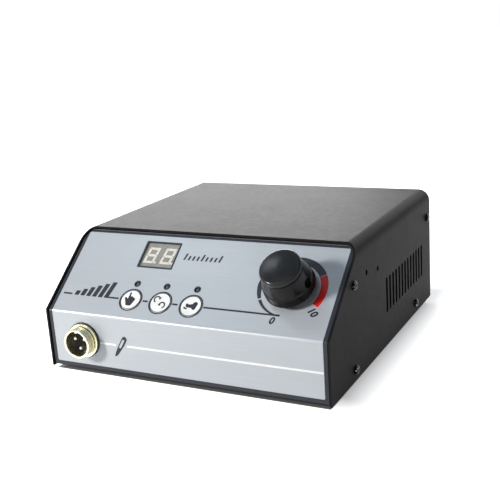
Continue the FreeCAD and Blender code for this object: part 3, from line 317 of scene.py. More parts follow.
class Nodes:
    """A short way to write a node tree."""

    def __init__(self, name):
        self.material = bpy.data.materials.new(name)
        self.material.use_nodes = True
        self.tree = self.material.node_tree
        self.tree.nodes.clear()
        self.output = self.tree.nodes.new("ShaderNodeOutputMaterial")
        self.shader = self.add("ShaderNodeBsdfPrincipled")
        self.link(self.shader, "BSDF", self.output, "Surface")

    def add(self, kind, **settings):
        """A node, with each setting put on the node itself or else on its input of that name."""
        node = self.tree.nodes.new(kind)
        for key, value in settings.items():
            if hasattr(node, key):
                setattr(node, key, value)
            else:
                node.inputs[key.replace("_", " ")].default_value = value
        return node

    def link(self, source, output, target, target_input):
        """A link between an output and an input, each by its name or number."""
        self.tree.links.new(source.outputs[output], target.inputs[target_input])

    def base(self, colour, roughness, metallic=0.0, **more):
        """The shader's own values."""
        self.shader.inputs["Base Color"].default_value = colour
        self.shader.inputs["Roughness"].default_value = roughness
        self.shader.inputs["Metallic"].default_value = metallic
        for key, value in more.items():
            self.shader.inputs[key.replace("_", " ")].default_value = value
        return self

    def place(self, stretch=(1, 1, 1)):
        """Object coordinates, stretched."""
        source = self.add("ShaderNodeTexCoord")
        mapping = self.add("ShaderNodeMapping", Scale=stretch)
        self.link(source, "Object", mapping, "Vector")
        return mapping

    def noise(self, size, detail=3.0, stretch=(1, 1, 1)):
        """Noise whose features are about size across."""
        node = self.add("ShaderNodeTexNoise", Scale=1 / size, Detail=detail)
        self.link(self.place(stretch), "Vector", node, "Vector")
        return node

    def ramp(self, source, output, low, high, low_value, high_value):
        """The source's range from low to high turned into another range."""
        node = self.add("ShaderNodeMapRange")
        node.inputs["From Min"].default_value = low
        node.inputs["From Max"].default_value = high
        node.inputs["To Min"].default_value = low_value
        node.inputs["To Max"].default_value = high_value
        self.link(source, output, node, "Value")
        return node

    def tint(self, source, output, first, second, low=0.35, high=0.65):
        """Base colour between two colours by the source."""
        share = self.ramp(source, output, low, high, 0, 1)
        mix = self.add("ShaderNodeMix", data_type="RGBA")
        mix.inputs[MIX_FIRST].default_value = first
        mix.inputs[MIX_SECOND].default_value = second
        self.link(share, "Result", mix, "Factor")
        self.link(mix, MIX_RESULT, self.shader, "Base Color")
        return mix

    def rough(self, source, low_value, high_value, low=0.3, high=0.7):
        """Roughness between two values by the middle of a noise's range."""
        share = self.ramp(source, "Fac", low, high, low_value, high_value)
        self.link(share, "Result", self.shader, "Roughness")

    def bump(self, source, height, strength, under=None):
        """A bump of a height by the source's Fac, on top of another where under is given."""
        node = self.add("ShaderNodeBump", Strength=strength, Distance=height)
        self.link(source, "Fac", node, "Height")
        if under is not None:
            self.link(under, "Normal", node, "Normal")
        self.link(node, "Normal", self.shader, "Normal")
        return node


def mixed(colour, other, share):
    """The colour with a share of another in it."""
    return tuple(a + (b - a) * share for a, b in zip(colour, other))


def lighter(colour, share):
    """The colour with a share of white in it."""
    return mixed(colour, (1, 1, 1, 1), share)


def darker(colour, share):
    """The colour with a share of black in it."""
    return mixed(colour, (0, 0, 0, 1), share)


def powder_coat(name, colour):
    """Fine textured powder coat: orange peel, with finer grain and a little dust on it."""
    nodes = Nodes(name).base(colour, 0.45, Specular_IOR_Level=0.03)
    nodes.tint(nodes.noise(0.03, detail=4.0), "Fac", darker(colour, 0.08), lighter(colour, 0.004))
    nodes.rough(nodes.noise(0.004), 0.43, 0.47)
    peel = nodes.bump(nodes.noise(0.0008, detail=2.0), 0.00001, 0.25)
    nodes.bump(nodes.noise(0.0003, detail=1.0), 0.000006, 0.2, under=peel)
    return nodes.material


def brushed_film(name, colour, edge):
    """The silver print of the front film under its satin face, and the dark of its cut edges.

    The edges are the faces that don't look to the front, so it goes by the y of their normal.
    """
    nodes = Nodes(name).base(colour, 0.36, metallic=0.18, Specular_IOR_Level=0.4)
    streaks = nodes.noise(0.0006, stretch=(0.02, 1, 1))  # they run across the front
    brushed = nodes.tint(streaks, "Fac", darker(colour, 0.02), lighter(colour, 0.02))
    facing = nodes.add("ShaderNodeSeparateXYZ")
    nodes.link(nodes.add("ShaderNodeNewGeometry"), "Normal", facing, "Vector")
    cut = nodes.tint(facing, "Y", colour, edge, -0.5, -0.3)
    nodes.link(brushed, MIX_RESULT, cut, MIX_FIRST)
    nodes.rough(nodes.noise(0.012), 0.32, 0.38)
    nodes.bump(nodes.noise(0.0004, detail=2.0), 0.000006, 0.5)
    return nodes.material


def ink(name, colour, roughness=0.38):
    """Screen-printed ink with faint mesh marks."""
    nodes = Nodes(name).base(colour, roughness, Specular_IOR_Level=0.3)
    nodes.tint(nodes.noise(0.0008, detail=2.0), "Fac", darker(colour, 0.08), lighter(colour, 0.006))
    nodes.rough(nodes.noise(0.002, detail=2.0), roughness - 0.05, roughness + 0.06)
    nodes.bump(nodes.noise(0.0003, detail=1.0), 0.000004, 0.4)
    return nodes.material


def moulded(name, colour, roughness, grain=0.0005, height=0.000015, **more):
    """Moulded plastic: fine spark grain and slow changes of gloss."""
    nodes = Nodes(name).base(colour, roughness, **more)
    nodes.tint(nodes.noise(0.006), "Fac", darker(colour, 0.10), lighter(colour, 0.02))
    nodes.rough(nodes.noise(0.003), roughness - 0.06, roughness + 0.08)
    nodes.bump(nodes.noise(grain, detail=2.0), height, 0.5)
    return nodes.material


def polished(name, colour, gloss):
    """Glossy moulded plastic with a little haze and wear."""
    nodes = Nodes(name).base(colour, 0.2, Specular_IOR_Level=gloss)
    nodes.tint(nodes.noise(0.01), "Fac", darker(colour, 0.1), lighter(colour, 0.004))
    nodes.rough(nodes.noise(0.008, detail=2.0), 0.17, 0.23)
    nodes.bump(nodes.noise(0.0005, detail=2.0), 0.000002, 0.4)
    return nodes.material


def rubber(name, colour):
    """Dull rubber with a coarse, uneven face."""
    nodes = Nodes(name).base(colour, 0.75, Specular_IOR_Level=0.3)
    nodes.tint(nodes.noise(0.003, detail=4.0), "Fac", darker(colour, 0.2), lighter(colour, 0.05))
    nodes.rough(nodes.noise(0.0015), 0.66, 0.85)
    nodes.bump(nodes.noise(0.0004), 0.00003, 0.6)
    return nodes.material


def plated(name, colour, roughness, stain, blotch=0.002):
    """Plated or bare metal with stains and fine scratches."""
    nodes = Nodes(name).base(colour, roughness, metallic=1.0)
    nodes.tint(nodes.noise(blotch, detail=4.0), "Fac", stain, colour)
    nodes.rough(nodes.noise(blotch / 2), roughness - 0.06, roughness + 0.1)
    nodes.bump(nodes.noise(0.0002, detail=2.0), 0.000004, 0.5)
    return nodes.material


# Painted shade in the socket's thread: dark in its valleys
groove_out = (0.15, 0.05)  # under the crests, where it fades out
groove_in = (0.3, 0.1)  # under the valleys, where it fades in
groove_start = 0.5  # behind the rim
groove_fade = 0.2


def threaded_nickel(name, colour, stain, painted_valley_shade):
    """Yellowed nickel on the socket, with painted shade in the valleys of its thread."""
    nodes = Nodes(name).base(colour, 0.2, metallic=1.0)
    blotches = nodes.tint(nodes.noise(0.004, detail=4.0), "Fac", stain, colour)
    centre = nodes.add("ShaderNodeVectorMath", operation="SUBTRACT")
    centre.inputs[1].default_value = FRONT @ Vector((socket_x, socket_z, 0))
    nodes.link(nodes.place(), "Vector", centre, 0)
    parts = nodes.add("ShaderNodeSeparateXYZ")
    nodes.link(centre, "Vector", parts, 0)
    flat = nodes.add("ShaderNodeVectorMath", operation="MULTIPLY")
    flat.inputs[1].default_value = (1, 0, 1)
    nodes.link(centre, "Vector", flat, 0)
    radius = nodes.add("ShaderNodeVectorMath", operation="LENGTH")
    nodes.link(flat, "Vector", radius, 0)
    crest = socket_barrel * MM
    valley = crest - thread_depth * MM
    start = (groove_start - socket_reach) * MM
    limits = [
        nodes.ramp(radius, "Value", crest - groove_out[0] * MM, crest - groove_out[1] * MM, 1, 0),
        nodes.ramp(radius, "Value", valley - groove_in[0] * MM, valley - groove_in[1] * MM, 0, 1),
        nodes.ramp(parts, "Y", start, start + groove_fade * MM, 0, 1),
    ]
    first = nodes.add("ShaderNodeMath", operation="MULTIPLY")
    both = nodes.add("ShaderNodeMath", operation="MULTIPLY")
    nodes.link(limits[0], "Result", first, 0)
    nodes.link(limits[1], "Result", first, 1)
    nodes.link(first, "Value", both, 0)
    nodes.link(limits[2], "Result", both, 1)
    # Painted shade: the colour is darker in the thread's valleys, from behind the rim.
    mix = nodes.tint(both, "Value", colour, painted_valley_shade, 0, 1)
    nodes.link(blotches, MIX_RESULT, mix, MIX_FIRST)
    nodes.rough(nodes.noise(0.002), 0.16, 0.28)
    nodes.bump(nodes.noise(0.0002, detail=2.0), 0.000004, 0.4)
    return nodes.material


def worn_black_with_glints(name, colour, wear_and_glint):
    """Blackened steel with specks of uncoated metal scattered by a noise: partly wear, partly painted
    glints.
    """
    nodes = Nodes(name).base(colour, 0.3, metallic=1.0)
    # specks of uncoated metal by a noise: wear, and painted glints
    nodes.tint(nodes.noise(0.0011, detail=2.0), "Fac", colour, wear_and_glint, 0.61, 0.65)
    nodes.rough(nodes.noise(0.001, detail=2.0), 0.2, 0.4)
    nodes.bump(nodes.noise(0.0003, detail=2.0), 0.000006, 0.5)
    return nodes.material


def solder_mask(name, colour):
    """A circuit board: copper tracks under a green mask."""
    nodes = Nodes(name).base(colour, 0.35)
    tracks = nodes.add("ShaderNodeTexBrick", Scale=260.0)
    tracks.inputs["Mortar Size"].default_value = 0.12
    tracks.inputs["Color1"].default_value = colour
    tracks.inputs["Color2"].default_value = darker(colour, 0.2)
    tracks.inputs["Mortar"].default_value = lighter(colour, 0.16)
    nodes.link(nodes.place(), "Vector", tracks, "Vector")
    nodes.link(tracks, "Color", nodes.shader, "Base Color")
    nodes.rough(nodes.noise(0.004, detail=2.0), 0.28, 0.42)
    nodes.bump(tracks, 0.00003, 0.5)
    return nodes.material


def laminated(name, colour):
    """Varnished steel laminations."""
    nodes = Nodes(name).base(colour, 0.4, metallic=0.6)
    sheets = nodes.add("ShaderNodeTexWave", Scale=320.0, Distortion=0.3)
    sheets.bands_direction = "Y"
    nodes.link(nodes.place(), "Vector", sheets, "Vector")
    nodes.tint(sheets, "Fac", darker(colour, 0.5), lighter(colour, 0.1))
    nodes.rough(nodes.noise(0.003), 0.34, 0.5)
    nodes.bump(sheets, 0.00004, 0.6)
    return nodes.material


def wound_tape(name, colour):
    """Tape in turns round the coil."""
    nodes = Nodes(name).base(colour, 0.35)
    turns = nodes.add("ShaderNodeTexWave", Scale=40.0, Distortion=0.6)
    turns.bands_direction = "Z"
    nodes.link(nodes.place(), "Vector", turns, "Vector")
    nodes.tint(turns, "Fac", darker(colour, 0.25), lighter(colour, 0.1))
    nodes.rough(nodes.noise(0.003), 0.3, 0.45)
    nodes.bump(turns, 0.00008, 0.5)
    return nodes.material


def clear(name, colour, alpha, roughness):
    """See-through plastic or glass with faint smears."""
    nodes = Nodes(name).base(colour, roughness, Alpha=alpha, Specular_IOR_Level=0.5)
    nodes.rough(nodes.noise(0.004, detail=2.0), roughness, roughness + 0.08)
    nodes.bump(nodes.noise(0.002, detail=1.0), 0.000003, 0.3)
    return nodes.material


COVER_BLACK = srgb(34, 32, 33)
SILVER = srgb(179, 184, 189)
SLATE = srgb(36, 39, 48)
LINE_WHITE = srgb(246, 246, 246)
SCALE_RED = srgb(226, 32, 24)
KEY_WHITE = srgb(246, 248, 247)
NICKEL = srgb(250, 247, 226)
NICKEL_STAIN = srgb(230, 222, 184)
# painted shade for the valleys of the socket's thread
NICKEL_PAINTED_SHADE = srgb(104, 97, 68)
ALUMINIUM_STAIN = srgb(160, 162, 165)
KNOB_BLACK = srgb(9, 8, 8)
PLASTIC_BLACK = srgb(34, 34, 35)

# By the record's slot, by the node for the knob's cap, and by name for the inks
materials = {
    "cover_black": powder_coat("cover_powder_coat", COVER_BLACK),
    "panel_black": powder_coat("panel_powder_coat", srgb(38, 38, 40)),
    "screw_bright": plated("bright_zinc", srgb(190, 191, 193), 0.28, srgb(140, 140, 142), 0.0015),
    # the screws' light specks are wear and painted glints
    "screw_black": worn_black_with_glints("blackened_steel", srgb(30, 30, 31), srgb(200, 200, 198)),
    "foot_rubber": rubber("foot_rubber", srgb(38, 38, 38)),
    "film_silver": brushed_film("brushed_silver_film", SILVER, SLATE),
    "window_clear": clear("clear_window", srgb(150, 149, 144), 0.12, 0.25),
    "display_grey": moulded("display_face", srgb(164, 162, 154), 0.6),
    "segment_white": moulded("lit_segments", srgb(244, 241, 230), 0.4, Emission_Strength=0.16),
    "board_green": solder_mask("solder_mask", srgb(20, 92, 48)),
    "brass": plated("turned_brass", srgb(205, 170, 100), 0.3, srgb(150, 118, 60)),
    "key_white": moulded("key_face", KEY_WHITE, 0.42, 0.0004, 0.000006),
    "switch_plastic": moulded("switch_plastic", srgb(50, 50, 50), 0.5),
    "plunger_plastic": moulded("plunger_plastic", srgb(140, 50, 40), 0.45),
    "lamp_resin": moulded("lamp_resin", srgb(84, 90, 98), 0.3),
    "knob_black": polished("knob_plastic", KNOB_BLACK, 0.16),
    # the cap is a lighter copy of the knob's black: painted light on its top
    "knob_cap": polished("knob_cap_painted_light", srgb(26, 26, 26), 0.24),
    "steel": plated("zinc_steel", srgb(170, 172, 175), 0.35, srgb(120, 121, 124)),
    "socket_metal": threaded_nickel("yellowed_nickel", NICKEL, NICKEL_STAIN, NICKEL_PAINTED_SHADE),
    "socket_rubber": rubber("socket_rubber", srgb(30, 30, 33)),
    "insulator_black": moulded("insulator", srgb(14, 13, 13), 0.4, Specular_IOR_Level=0.2),
    "contact_metal": plated("silvered_contacts", srgb(225, 222, 210), 0.22, srgb(185, 178, 155), 0.001),
    "housing_black": moulded("fitting_plastic", PLASTIC_BLACK, 0.4),
    "rocker_red": moulded("rocker_plastic", srgb(170, 26, 24), 0.3),
    "fuse_glass": clear("fuse_glass", srgb(215, 225, 222), 0.35, 0.04),
    "core_steel": laminated("laminated_core", srgb(98, 98, 104)),
    "coil_tape": wound_tape("coil_tape", srgb(208, 172, 60)),
    "capacitor_sleeve": moulded("capacitor_sleeve", srgb(40, 52, 84), 0.3),
    "relay_blue": moulded("relay_case", srgb(40, 90, 160), 0.35),
    "header_white": moulded("header_plastic", srgb(228, 224, 208), 0.5),
    "sink_aluminium": plated("extruded_aluminium", srgb(196, 198, 200), 0.42, ALUMINIUM_STAIN, 0.004),
    "slate_ink": ink("slate_ink", SLATE),
    "white_ink": ink("white_ink", LINE_WHITE, 0.45),
    "red_ink": ink("red_ink", SCALE_RED),
    "key_ink": ink("key_ink", srgb(38, 38, 45), 0.45),
}


def dress_nodes():
    """Each CAD node gets the material that has its own name, or else that of its slot."""
    slots = {entry["node"]: entry["material_slot"] for entry in frame["record"]["subparts"]}
    for name, node in frame["nodes"].items():
        node.data.materials.clear()
        node.data.materials.append(materials.get(name, materials[slots[name]]))


# Print on the front film
film_half = film_high.x / MM
film_corner = 6.2  # radius of the film's upper corners, seen from the front
film_corner_turn = 78  # of the corner's arc, which ends before it is level
film_mesh = frame["nodes"]["front_film"].data
film_top = max((vertex.co - FOLD).dot(UP) for vertex in film_mesh.vertices) / MM
film_foot = -(FOLD.z - film_low.z) / MM
edge_overhang = 0.02  # of the border past the film's edge
silver_half = 95.5
silver_top = 64.0
silver_foot = 4.0 - fold_z
silver_corner = 1.0
fold_steps = 8


def wrap_point(along, lift):
    """y and z of a point on the film, along up the slope from the fold (less than 0 is down from it)."""
    tangent = fold_radius * math.tan(FOLD_ANGLE / 2)
    if along >= tangent:
        point = FOLD + (UP * along + OUT * lift) * MM
        return point.y, point.z
    if along <= -tangent:
        return FOLD.y - lift * MM, FOLD.z + along * MM
    turn = (along / tangent + 1) / 2 * FOLD_ANGLE
    radius = (fold_radius + lift) * MM
    y = FOLD.y + fold_radius * MM - radius * math.cos(turn)
    z = FOLD.z - tangent * MM + radius * math.sin(turn)
    return y, z


def wrapped(name, loops, ink_name):
    """Ink that follows the film over the fold. The loops give x, and the way up from the fold."""
    mesh = filled_mesh(name, loops, ink_depth + ink_sink)
    shape = bmesh.new()
    shape.from_mesh(mesh)
    tangent = fold_radius * math.tan(FOLD_ANGLE / 2)
    for number in range(fold_steps + 1):
        cut = (0, tangent * (2 * number / fold_steps - 1), 0)
        everything = shape.verts[:] + shape.edges[:] + shape.faces[:]
        bmesh.ops.bisect_plane(
            shape, geom=everything, plane_co=cut, plane_no=(0, 1, 0), dist=merge_distance
        )
    for vertex in shape.verts:
        x, along, lift = vertex.co
        y, z = wrap_point(along, lift - ink_sink)
        vertex.co = (x * MM, y, z)
    bmesh.ops.recalc_face_normals(shape, faces=shape.faces)
    shape.to_mesh(mesh)
    shape.free()
    shade_by_angle(mesh)
    add_piece(name, mesh, materials[ink_name], "case")


def film_border():
    """The dark border of the film, from the film's edge to the silver's round rectangle."""
    side = film_half + edge_overhang
    foot = film_foot - edge_overhang
    outer = [(-side, foot), (side, foot)]
    drop = film_corner / UP.z
    corner_x = film_half - film_corner
    corner_up = film_top - drop - edge_overhang
    for x, y in arc(1.0, 0, film_corner_turn, steps=10):
        outer.append((corner_x + film_corner * x + edge_overhang, corner_up + drop * y + edge_overhang))
    outer += [(-x, y) for x, y in outer[:1:-1]]
    width = 2 * silver_half
    height = silver_top - silver_foot
    inner = rounded(width, height, silver_corner, 0, (silver_top + silver_foot) / 2)
    wrapped("film_border", [outer, inner], "slate_ink")


line_up = 13.9
line_width = 1.2
line_runs = {
    "a": (-92.9, -85.9),
    "b": (-57.0, -48.9),
    "c": (-30.5, -26.7),
    "d": (-8.7, -4.7),
    "e": (13.5, 64.7),
}


def key_line():
    """The line that runs through the keys, from the film's left edge to the scale."""
    for name, (left, right) in line_runs.items():
        loop = rectangle(left, right, line_up - line_width / 2, line_up + line_width / 2)
        printed("key_line_" + name, [loop], SLANT)


level_left = -84.0
level_pitch = 4.7
level_count = 6
level_width = 3.3
level_low = 3.4
level_step = 1.75
print_lean = 0.2


def level_bars():
    """A generic row of rising bars, where the photograph has other print."""
    for number in range(level_count):
        height = level_low + level_step * number
        bar = slanted(rectangle(0, level_width, 0, height), print_lean)
        loop = moved(bar, level_left + number * level_pitch, line_up - line_width / 2)
        printed(f"level_bar_{number + 1}", [loop], SLANT)


tick_left = -14.0
tick_right = 11.5
tick_low = 46.9
tick_count = 9
tick_width = 1.3
tick_high = 5.0  # of each fourth tick
tick_short = 3.3


def unit_ticks():
    """A generic row of small ticks, where the photograph has other print."""
    step = (tick_right - tick_left) / (tick_count - 1)
    for number in range(tick_count):
        tall = tick_high if number % 4 == 0 else tick_short
        tick = slanted(rectangle(0, tick_width, 0, tall), print_lean)
        printed(f"unit_tick_{number + 1}", [moved(tick, tick_left + number * step, tick_low)], SLANT)


key_ring_outside = 8.25  # radius
key_ring_gap = 0.05  # between the key's hole and its ring
lamp_ring_outside = 2.4  # radius
lamp_ring_steps = 40
key_edge = (0.1, 0.5)  # from the key's rim to its dark edge, outside and inside


def key_rings():
    """A ring round each key and each lamp, and the dark edge of each key's face."""
    for name, x in key_x.items():
        loops = [circle(radius, x, key_up) for radius in (key_ring_outside, key_hole + key_ring_gap)]
        printed("key_ring_" + name, loops, SLANT)
        radii = (lamp_ring_outside, lamp_hole)
        loops = [circle(radius, x, lamp_up, lamp_ring_steps) for radius in radii]
        printed("lamp_ring_" + name, loops, SLANT)
        loops = [circle(key_radius - inset) for inset in key_edge]
        place = SLANT @ Matrix.Translation((x, key_up, key_proud))
        printed("key_edge_" + name, loops, place, "slate_ink", name + "_key")


window_frame = ((0.6, 0.6), (-1.8, 0.4))  # what each edge adds to the window's size, and its corners


def window_border():
    """The dark border over the window's edge."""
    loops = []
    for more, corner in window_frame:
        loops.append(rounded(window_width + more, window_height + more, corner, window_x, window_up))
    printed("window_border", loops, SLANT)


# The scale round the knob: its angles, from the knob's right, and its radii at four of them
scale_start = 262.6
scale_gap = (208.5, 205.5)
scale_left = 178.0
scale_crest = 90.0
scale_red_start = 32.0
scale_end = -29.0
red_overlap = 0.5
end_steps = 24  # along the tail, and along the red end
rise_steps = 60
scale_outer = {"start": 19.75, "gap": 21.3, "left": 22.4, "crest": 22.5}
scale_inner = {"start": 19.0, "gap": 19.25, "left": 18.9, "crest": 17.9}


def polar(radius, turn):
    """A point on the slant at a radius and angle from the knob's middle."""
    angle = math.radians(turn)
    return knob_x + radius * math.cos(angle), knob_up + radius * math.sin(angle)


def scale_edge(radii, turn):
    """The radius of an edge of the scale at an angle, from its point at the start to the full band."""
    places = {"start": scale_start, "gap": sum(scale_gap) / 2, "left": scale_left, "crest": scale_crest}
    stops = [(place, name) for name, place in places.items()]
    for (first, low), (last, high) in zip(stops, stops[1:]):
        if turn >= last:
            share = (first - turn) / (first - last)
            return radii[low] + share * (radii[high] - radii[low])
    return radii["crest"]


def scale_band(start, end, steps):
    """The scale's outline between two angles."""
    turns = [start + (end - start) * number / steps for number in range(steps + 1)]
    outside = [polar(scale_edge(scale_outer, turn), turn) for turn in turns]
    inside = [polar(scale_edge(scale_inner, turn), turn) for turn in turns[::-1]]
    return outside + inside


def speed_scale():
    """The dark scale with its gap, and its red end."""
    tail_end, rise_start = scale_gap
    tail = scale_band(scale_start, tail_end, end_steps)
    rise = scale_band(rise_start, scale_red_start + red_overlap, rise_steps)
    red = scale_band(scale_red_start - red_overlap, scale_end, end_steps)
    printed("scale_tail", [tail], SLANT)
    printed("scale_rise", [rise], SLANT)
    printed("scale_red", [red], SLANT, "red_ink")


number_height = 4.4
number_share = 0.7  # of the font's size that a figure is high
number_weight = 0.06  # what is added to its strokes, as a share of its height
number_places = {"low": ("0", 60.6, 9.9, 0), "high": ("10", 83.8, 18.3, -42)}  # text, x, up and turn


def numeral_mesh(name, text, height):
    """A plain number in mesh, its middle at the origin."""
    curve = bpy.data.curves.new(name, "FONT")
    curve.body = text
    curve.size = height / number_share
    curve.shear = print_lean
    curve.offset = number_weight * height
    curve.align_x = "CENTER"
    curve.align_y = "CENTER"
    curve.extrude = (ink_depth + ink_sink) / 2
    drawn = bpy.data.objects.new(name, curve)
    mesh = bpy.data.meshes.new_from_object(drawn)
    bpy.data.objects.remove(drawn)
    bpy.data.curves.remove(curve)
    return mesh


def scale_numbers():
    """Plain numbers at the ends of the scale."""
    for name, (text, x, up, turn) in number_places.items():
        mesh = numeral_mesh("scale_number_" + name, text, number_height)
        turned = Matrix.Rotation(math.radians(turn), 4, "Z")
        lift = (ink_depth - ink_sink) / 2
        mesh.transform(SLANT @ Matrix.Translation((x, up, lift)) @ turned)
        add_piece("scale_number_" + name, mesh, materials["slate_ink"], "case")


# Signs on the keys, about a key's middle
sign_steps = 5  # points between two of an outline's own
arrow_half = 0.48  # half the width of the arc
arrow_wide = 1.25  # half the width of the head
arrow_reach = 38  # degrees from the arc's end to the head's tip
turn_arrows = ((-3.0, 2.2, 2.05, 35, 252), (1.8, -1.6, 1.95, 168, -70))  # x, y, radius, start and end


def hand_loops():
    """A hand that points up, with four knuckles."""
    points = [
        (-4.6, 1.1), (-4.0, -0.4), (-2.0, -4.1), (-1.3, -4.4), (1.4, -4.2), (2.4, -2.0), (3.2, 0.2),
        (3.0, 1.3), (2.4, 1.0), (1.9, 2.0), (1.1, 1.6), (0.5, 2.6), (-0.3, 2.2), (-0.9, 2.8),
        (-1.0, 4.7), (-1.5, 5.3), (-2.0, 4.7), (-2.2, 1.6), (-2.5, 0.5), (-3.7, 1.5),
    ]
    return [smooth(points, sign_steps)]


def turn_arrow(x, y, radius, start, end):
    """An arc with an arrowhead at its start, for a turning direction."""
    ahead = math.copysign(1, start - end)
    band = arc(radius + arrow_half, start, end, x, y) + arc(radius - arrow_half, end, start, x, y)
    tip = arc(radius, start + ahead * arrow_reach, start, x, y, 1)[0]
    head = [tip] + [arc(radius + side * arrow_wide, start, start, x, y, 1)[0] for side in (1, -1)]
    return [band, head]


def foot_loops():
    """A shoe, seen from the side, over a pedal."""
    shoe = [
        (-3.7, 1.0), (-3.4, -0.5), (-2.4, -1.2), (-0.8, -1.3), (0.7, -1.5), (1.6, -2.3), (2.7, -2.6),
        (3.5, -2.0), (3.8, -0.6), (4.2, 1.7), (3.7, 2.8), (2.4, 3.1), (1.4, 2.5), (0.8, 1.5),
        (-0.2, 1.2), (-1.6, 0.9), (-2.6, 1.3), (-3.2, 1.5),
    ]
    pedal = [(-4.7, -1.6), (-4.2, -2.4), (-1.9, -2.6), (-1.8, -2.0), (-3.2, -1.4), (-4.3, -1.0)]
    return [smooth(shoe, sign_steps), pedal]


def key_signs():
    """A hand, two turning arrows and a foot on the keys."""
    signs = {
        "hand": hand_loops(),
        "direction": [loop for arrow in turn_arrows for loop in turn_arrow(*arrow)],
        "foot": foot_loops(),
    }
    for name, loops in signs.items():
        place = SLANT @ Matrix.Translation((key_x[name], key_up, key_proud))
        mesh = join_meshes("key_sign_" + name, [ink_mesh("sign", [loop], place) for loop in loops])
        add_piece("key_sign_" + name, mesh, materials["key_ink"], name + "_key")


# Lower front
stripe_z = 20.25
stripe_width = 1.4
stripe_right = 95.3
stripe_gap = 0.3  # between the socket's washer and the stripe
sign_left = -47.0
sign_right = -38.4
washer_radius = 11.8
handpiece_steps = 4  # points between two of its outline's own


def front_stripe():
    """The white line from the socket to the film's edge, with a gap for the handpiece."""
    stripe_left = socket_x + washer_radius + stripe_gap
    runs = {"left": (stripe_left, sign_left), "right": (sign_right, stripe_right)}
    for name, (left, right) in runs.items():
        loop = rectangle(left, right, stripe_z - stripe_width / 2, stripe_z + stripe_width / 2)
        printed("front_stripe_" + name, [loop], FRONT, "white_ink")


def handpiece_sign():
    """A small drawing of a handpiece: a barrel that is open in the middle, with a dark nose."""
    barrel = [
        (-48.3, 12.4), (-48.1, 13.8), (-46.8, 16.6), (-45.2, 19.6), (-43.4, 22.8), (-41.3, 25.9),
        (-40.3, 26.6), (-39.0, 26.4), (-38.2, 25.2), (-38.4, 23.9), (-40.6, 20.4), (-43.0, 17.2),
        (-44.8, 15.0), (-46.4, 13.2),
    ]
    hollow = [
        (-44.6, 19.2), (-43.0, 22.0), (-41.4, 24.3), (-40.1, 24.1), (-41.0, 22.2), (-43.3, 18.6),
        (-44.3, 18.5),
    ]
    loops = [smooth(points, handpiece_steps) for points in (barrel, hollow)]
    printed("handpiece_sign", loops, FRONT, "key_ink")


# Marks on the rear
ROCKER = Vector(joint("rocker_tilt")["pos_m"])
rocker_turn = math.radians(joint("rocker_tilt")["range_deg"][1] / 2)
rocker_ridge = 3.4  # from the rocker's axis
rocker_slope = math.radians(19.2)  # of each face, from the ridge
rocker_mark_place = 5.0  # from the ridge
off_ring = (1.7, 1.15)
on_bar = (0.3, 1.8)
sign_lift = 13.0  # of a rear sign above its fitting
fuse_sign = {"body": (3.2, 1.3), "hollow": (2.8, 0.9), "wire": (5.2, 0.2)}  # half widths and heights


def rocker_marks():
    """A ring on the rocker's upper face and a bar on its lower face."""
    ring = [circle(radius) for radius in off_ring]
    bar = [centred(*on_bar)]
    ridge = HIGH * -math.sin(rocker_turn) + BACK * math.cos(rocker_turn)
    for name, side, loops in (("off", 1, ring), ("on", -1, bar)):
        lean = side * rocker_slope + rocker_turn
        along = HIGH * math.cos(lean) + BACK * math.sin(lean)
        out = BACK * math.cos(lean) - HIGH * math.sin(lean)
        origin = ROCKER + (ridge * rocker_ridge + along * side * rocker_mark_place) * MM
        place = basis(-RIGHT, along, out, origin)
        printed("rocker_mark_" + name, loops, place, "white_ink", "rocker")


def rear_signs():
    """A fuse sign over the fuse holder and a shoe over the pedal jack."""
    body, hollow, wire = (centred(*halves) for halves in fuse_sign.values())
    signs = {
        "fuse": ("fuse_holder", [[body, hollow], [wire]]),
        "pedal": ("pedal_jack", [[loop] for loop in foot_loops()]),
    }
    for name, (node, parts) in signs.items():
        low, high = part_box(node)
        middle = (low + high) / 2
        x = -middle.x / MM
        z = (middle.z - cover_low.z) / MM + sign_lift
        for number, loops in enumerate(parts):
            placed = [moved(loop, x, z) for loop in loops]
            printed(f"{name}_sign_{number}", placed, REAR, "white_ink")


# Socket with its thread
socket_bevel = 0.4
socket_steps = 72
thread_gap = 0.5  # between the flange and the thread
thread_steps = 6  # points of the profile in each pitch
thread_end = 0.6  # the length over which the thread rises at its ends
thread_crest = 1.6  # steepness of its flanks: the more, the wider its flat crest
thread_play = 0.02  # under the barrel's radius
rib_half = 0.8  # half the width of the key rib in the bore
rib_height = 1.0
rib_sink = 0.4  # of the rib in the bore's wall
rib_back = 1.02
rib_shorter = 2.0  # than the socket's reach
socket_smooth = 40  # degrees


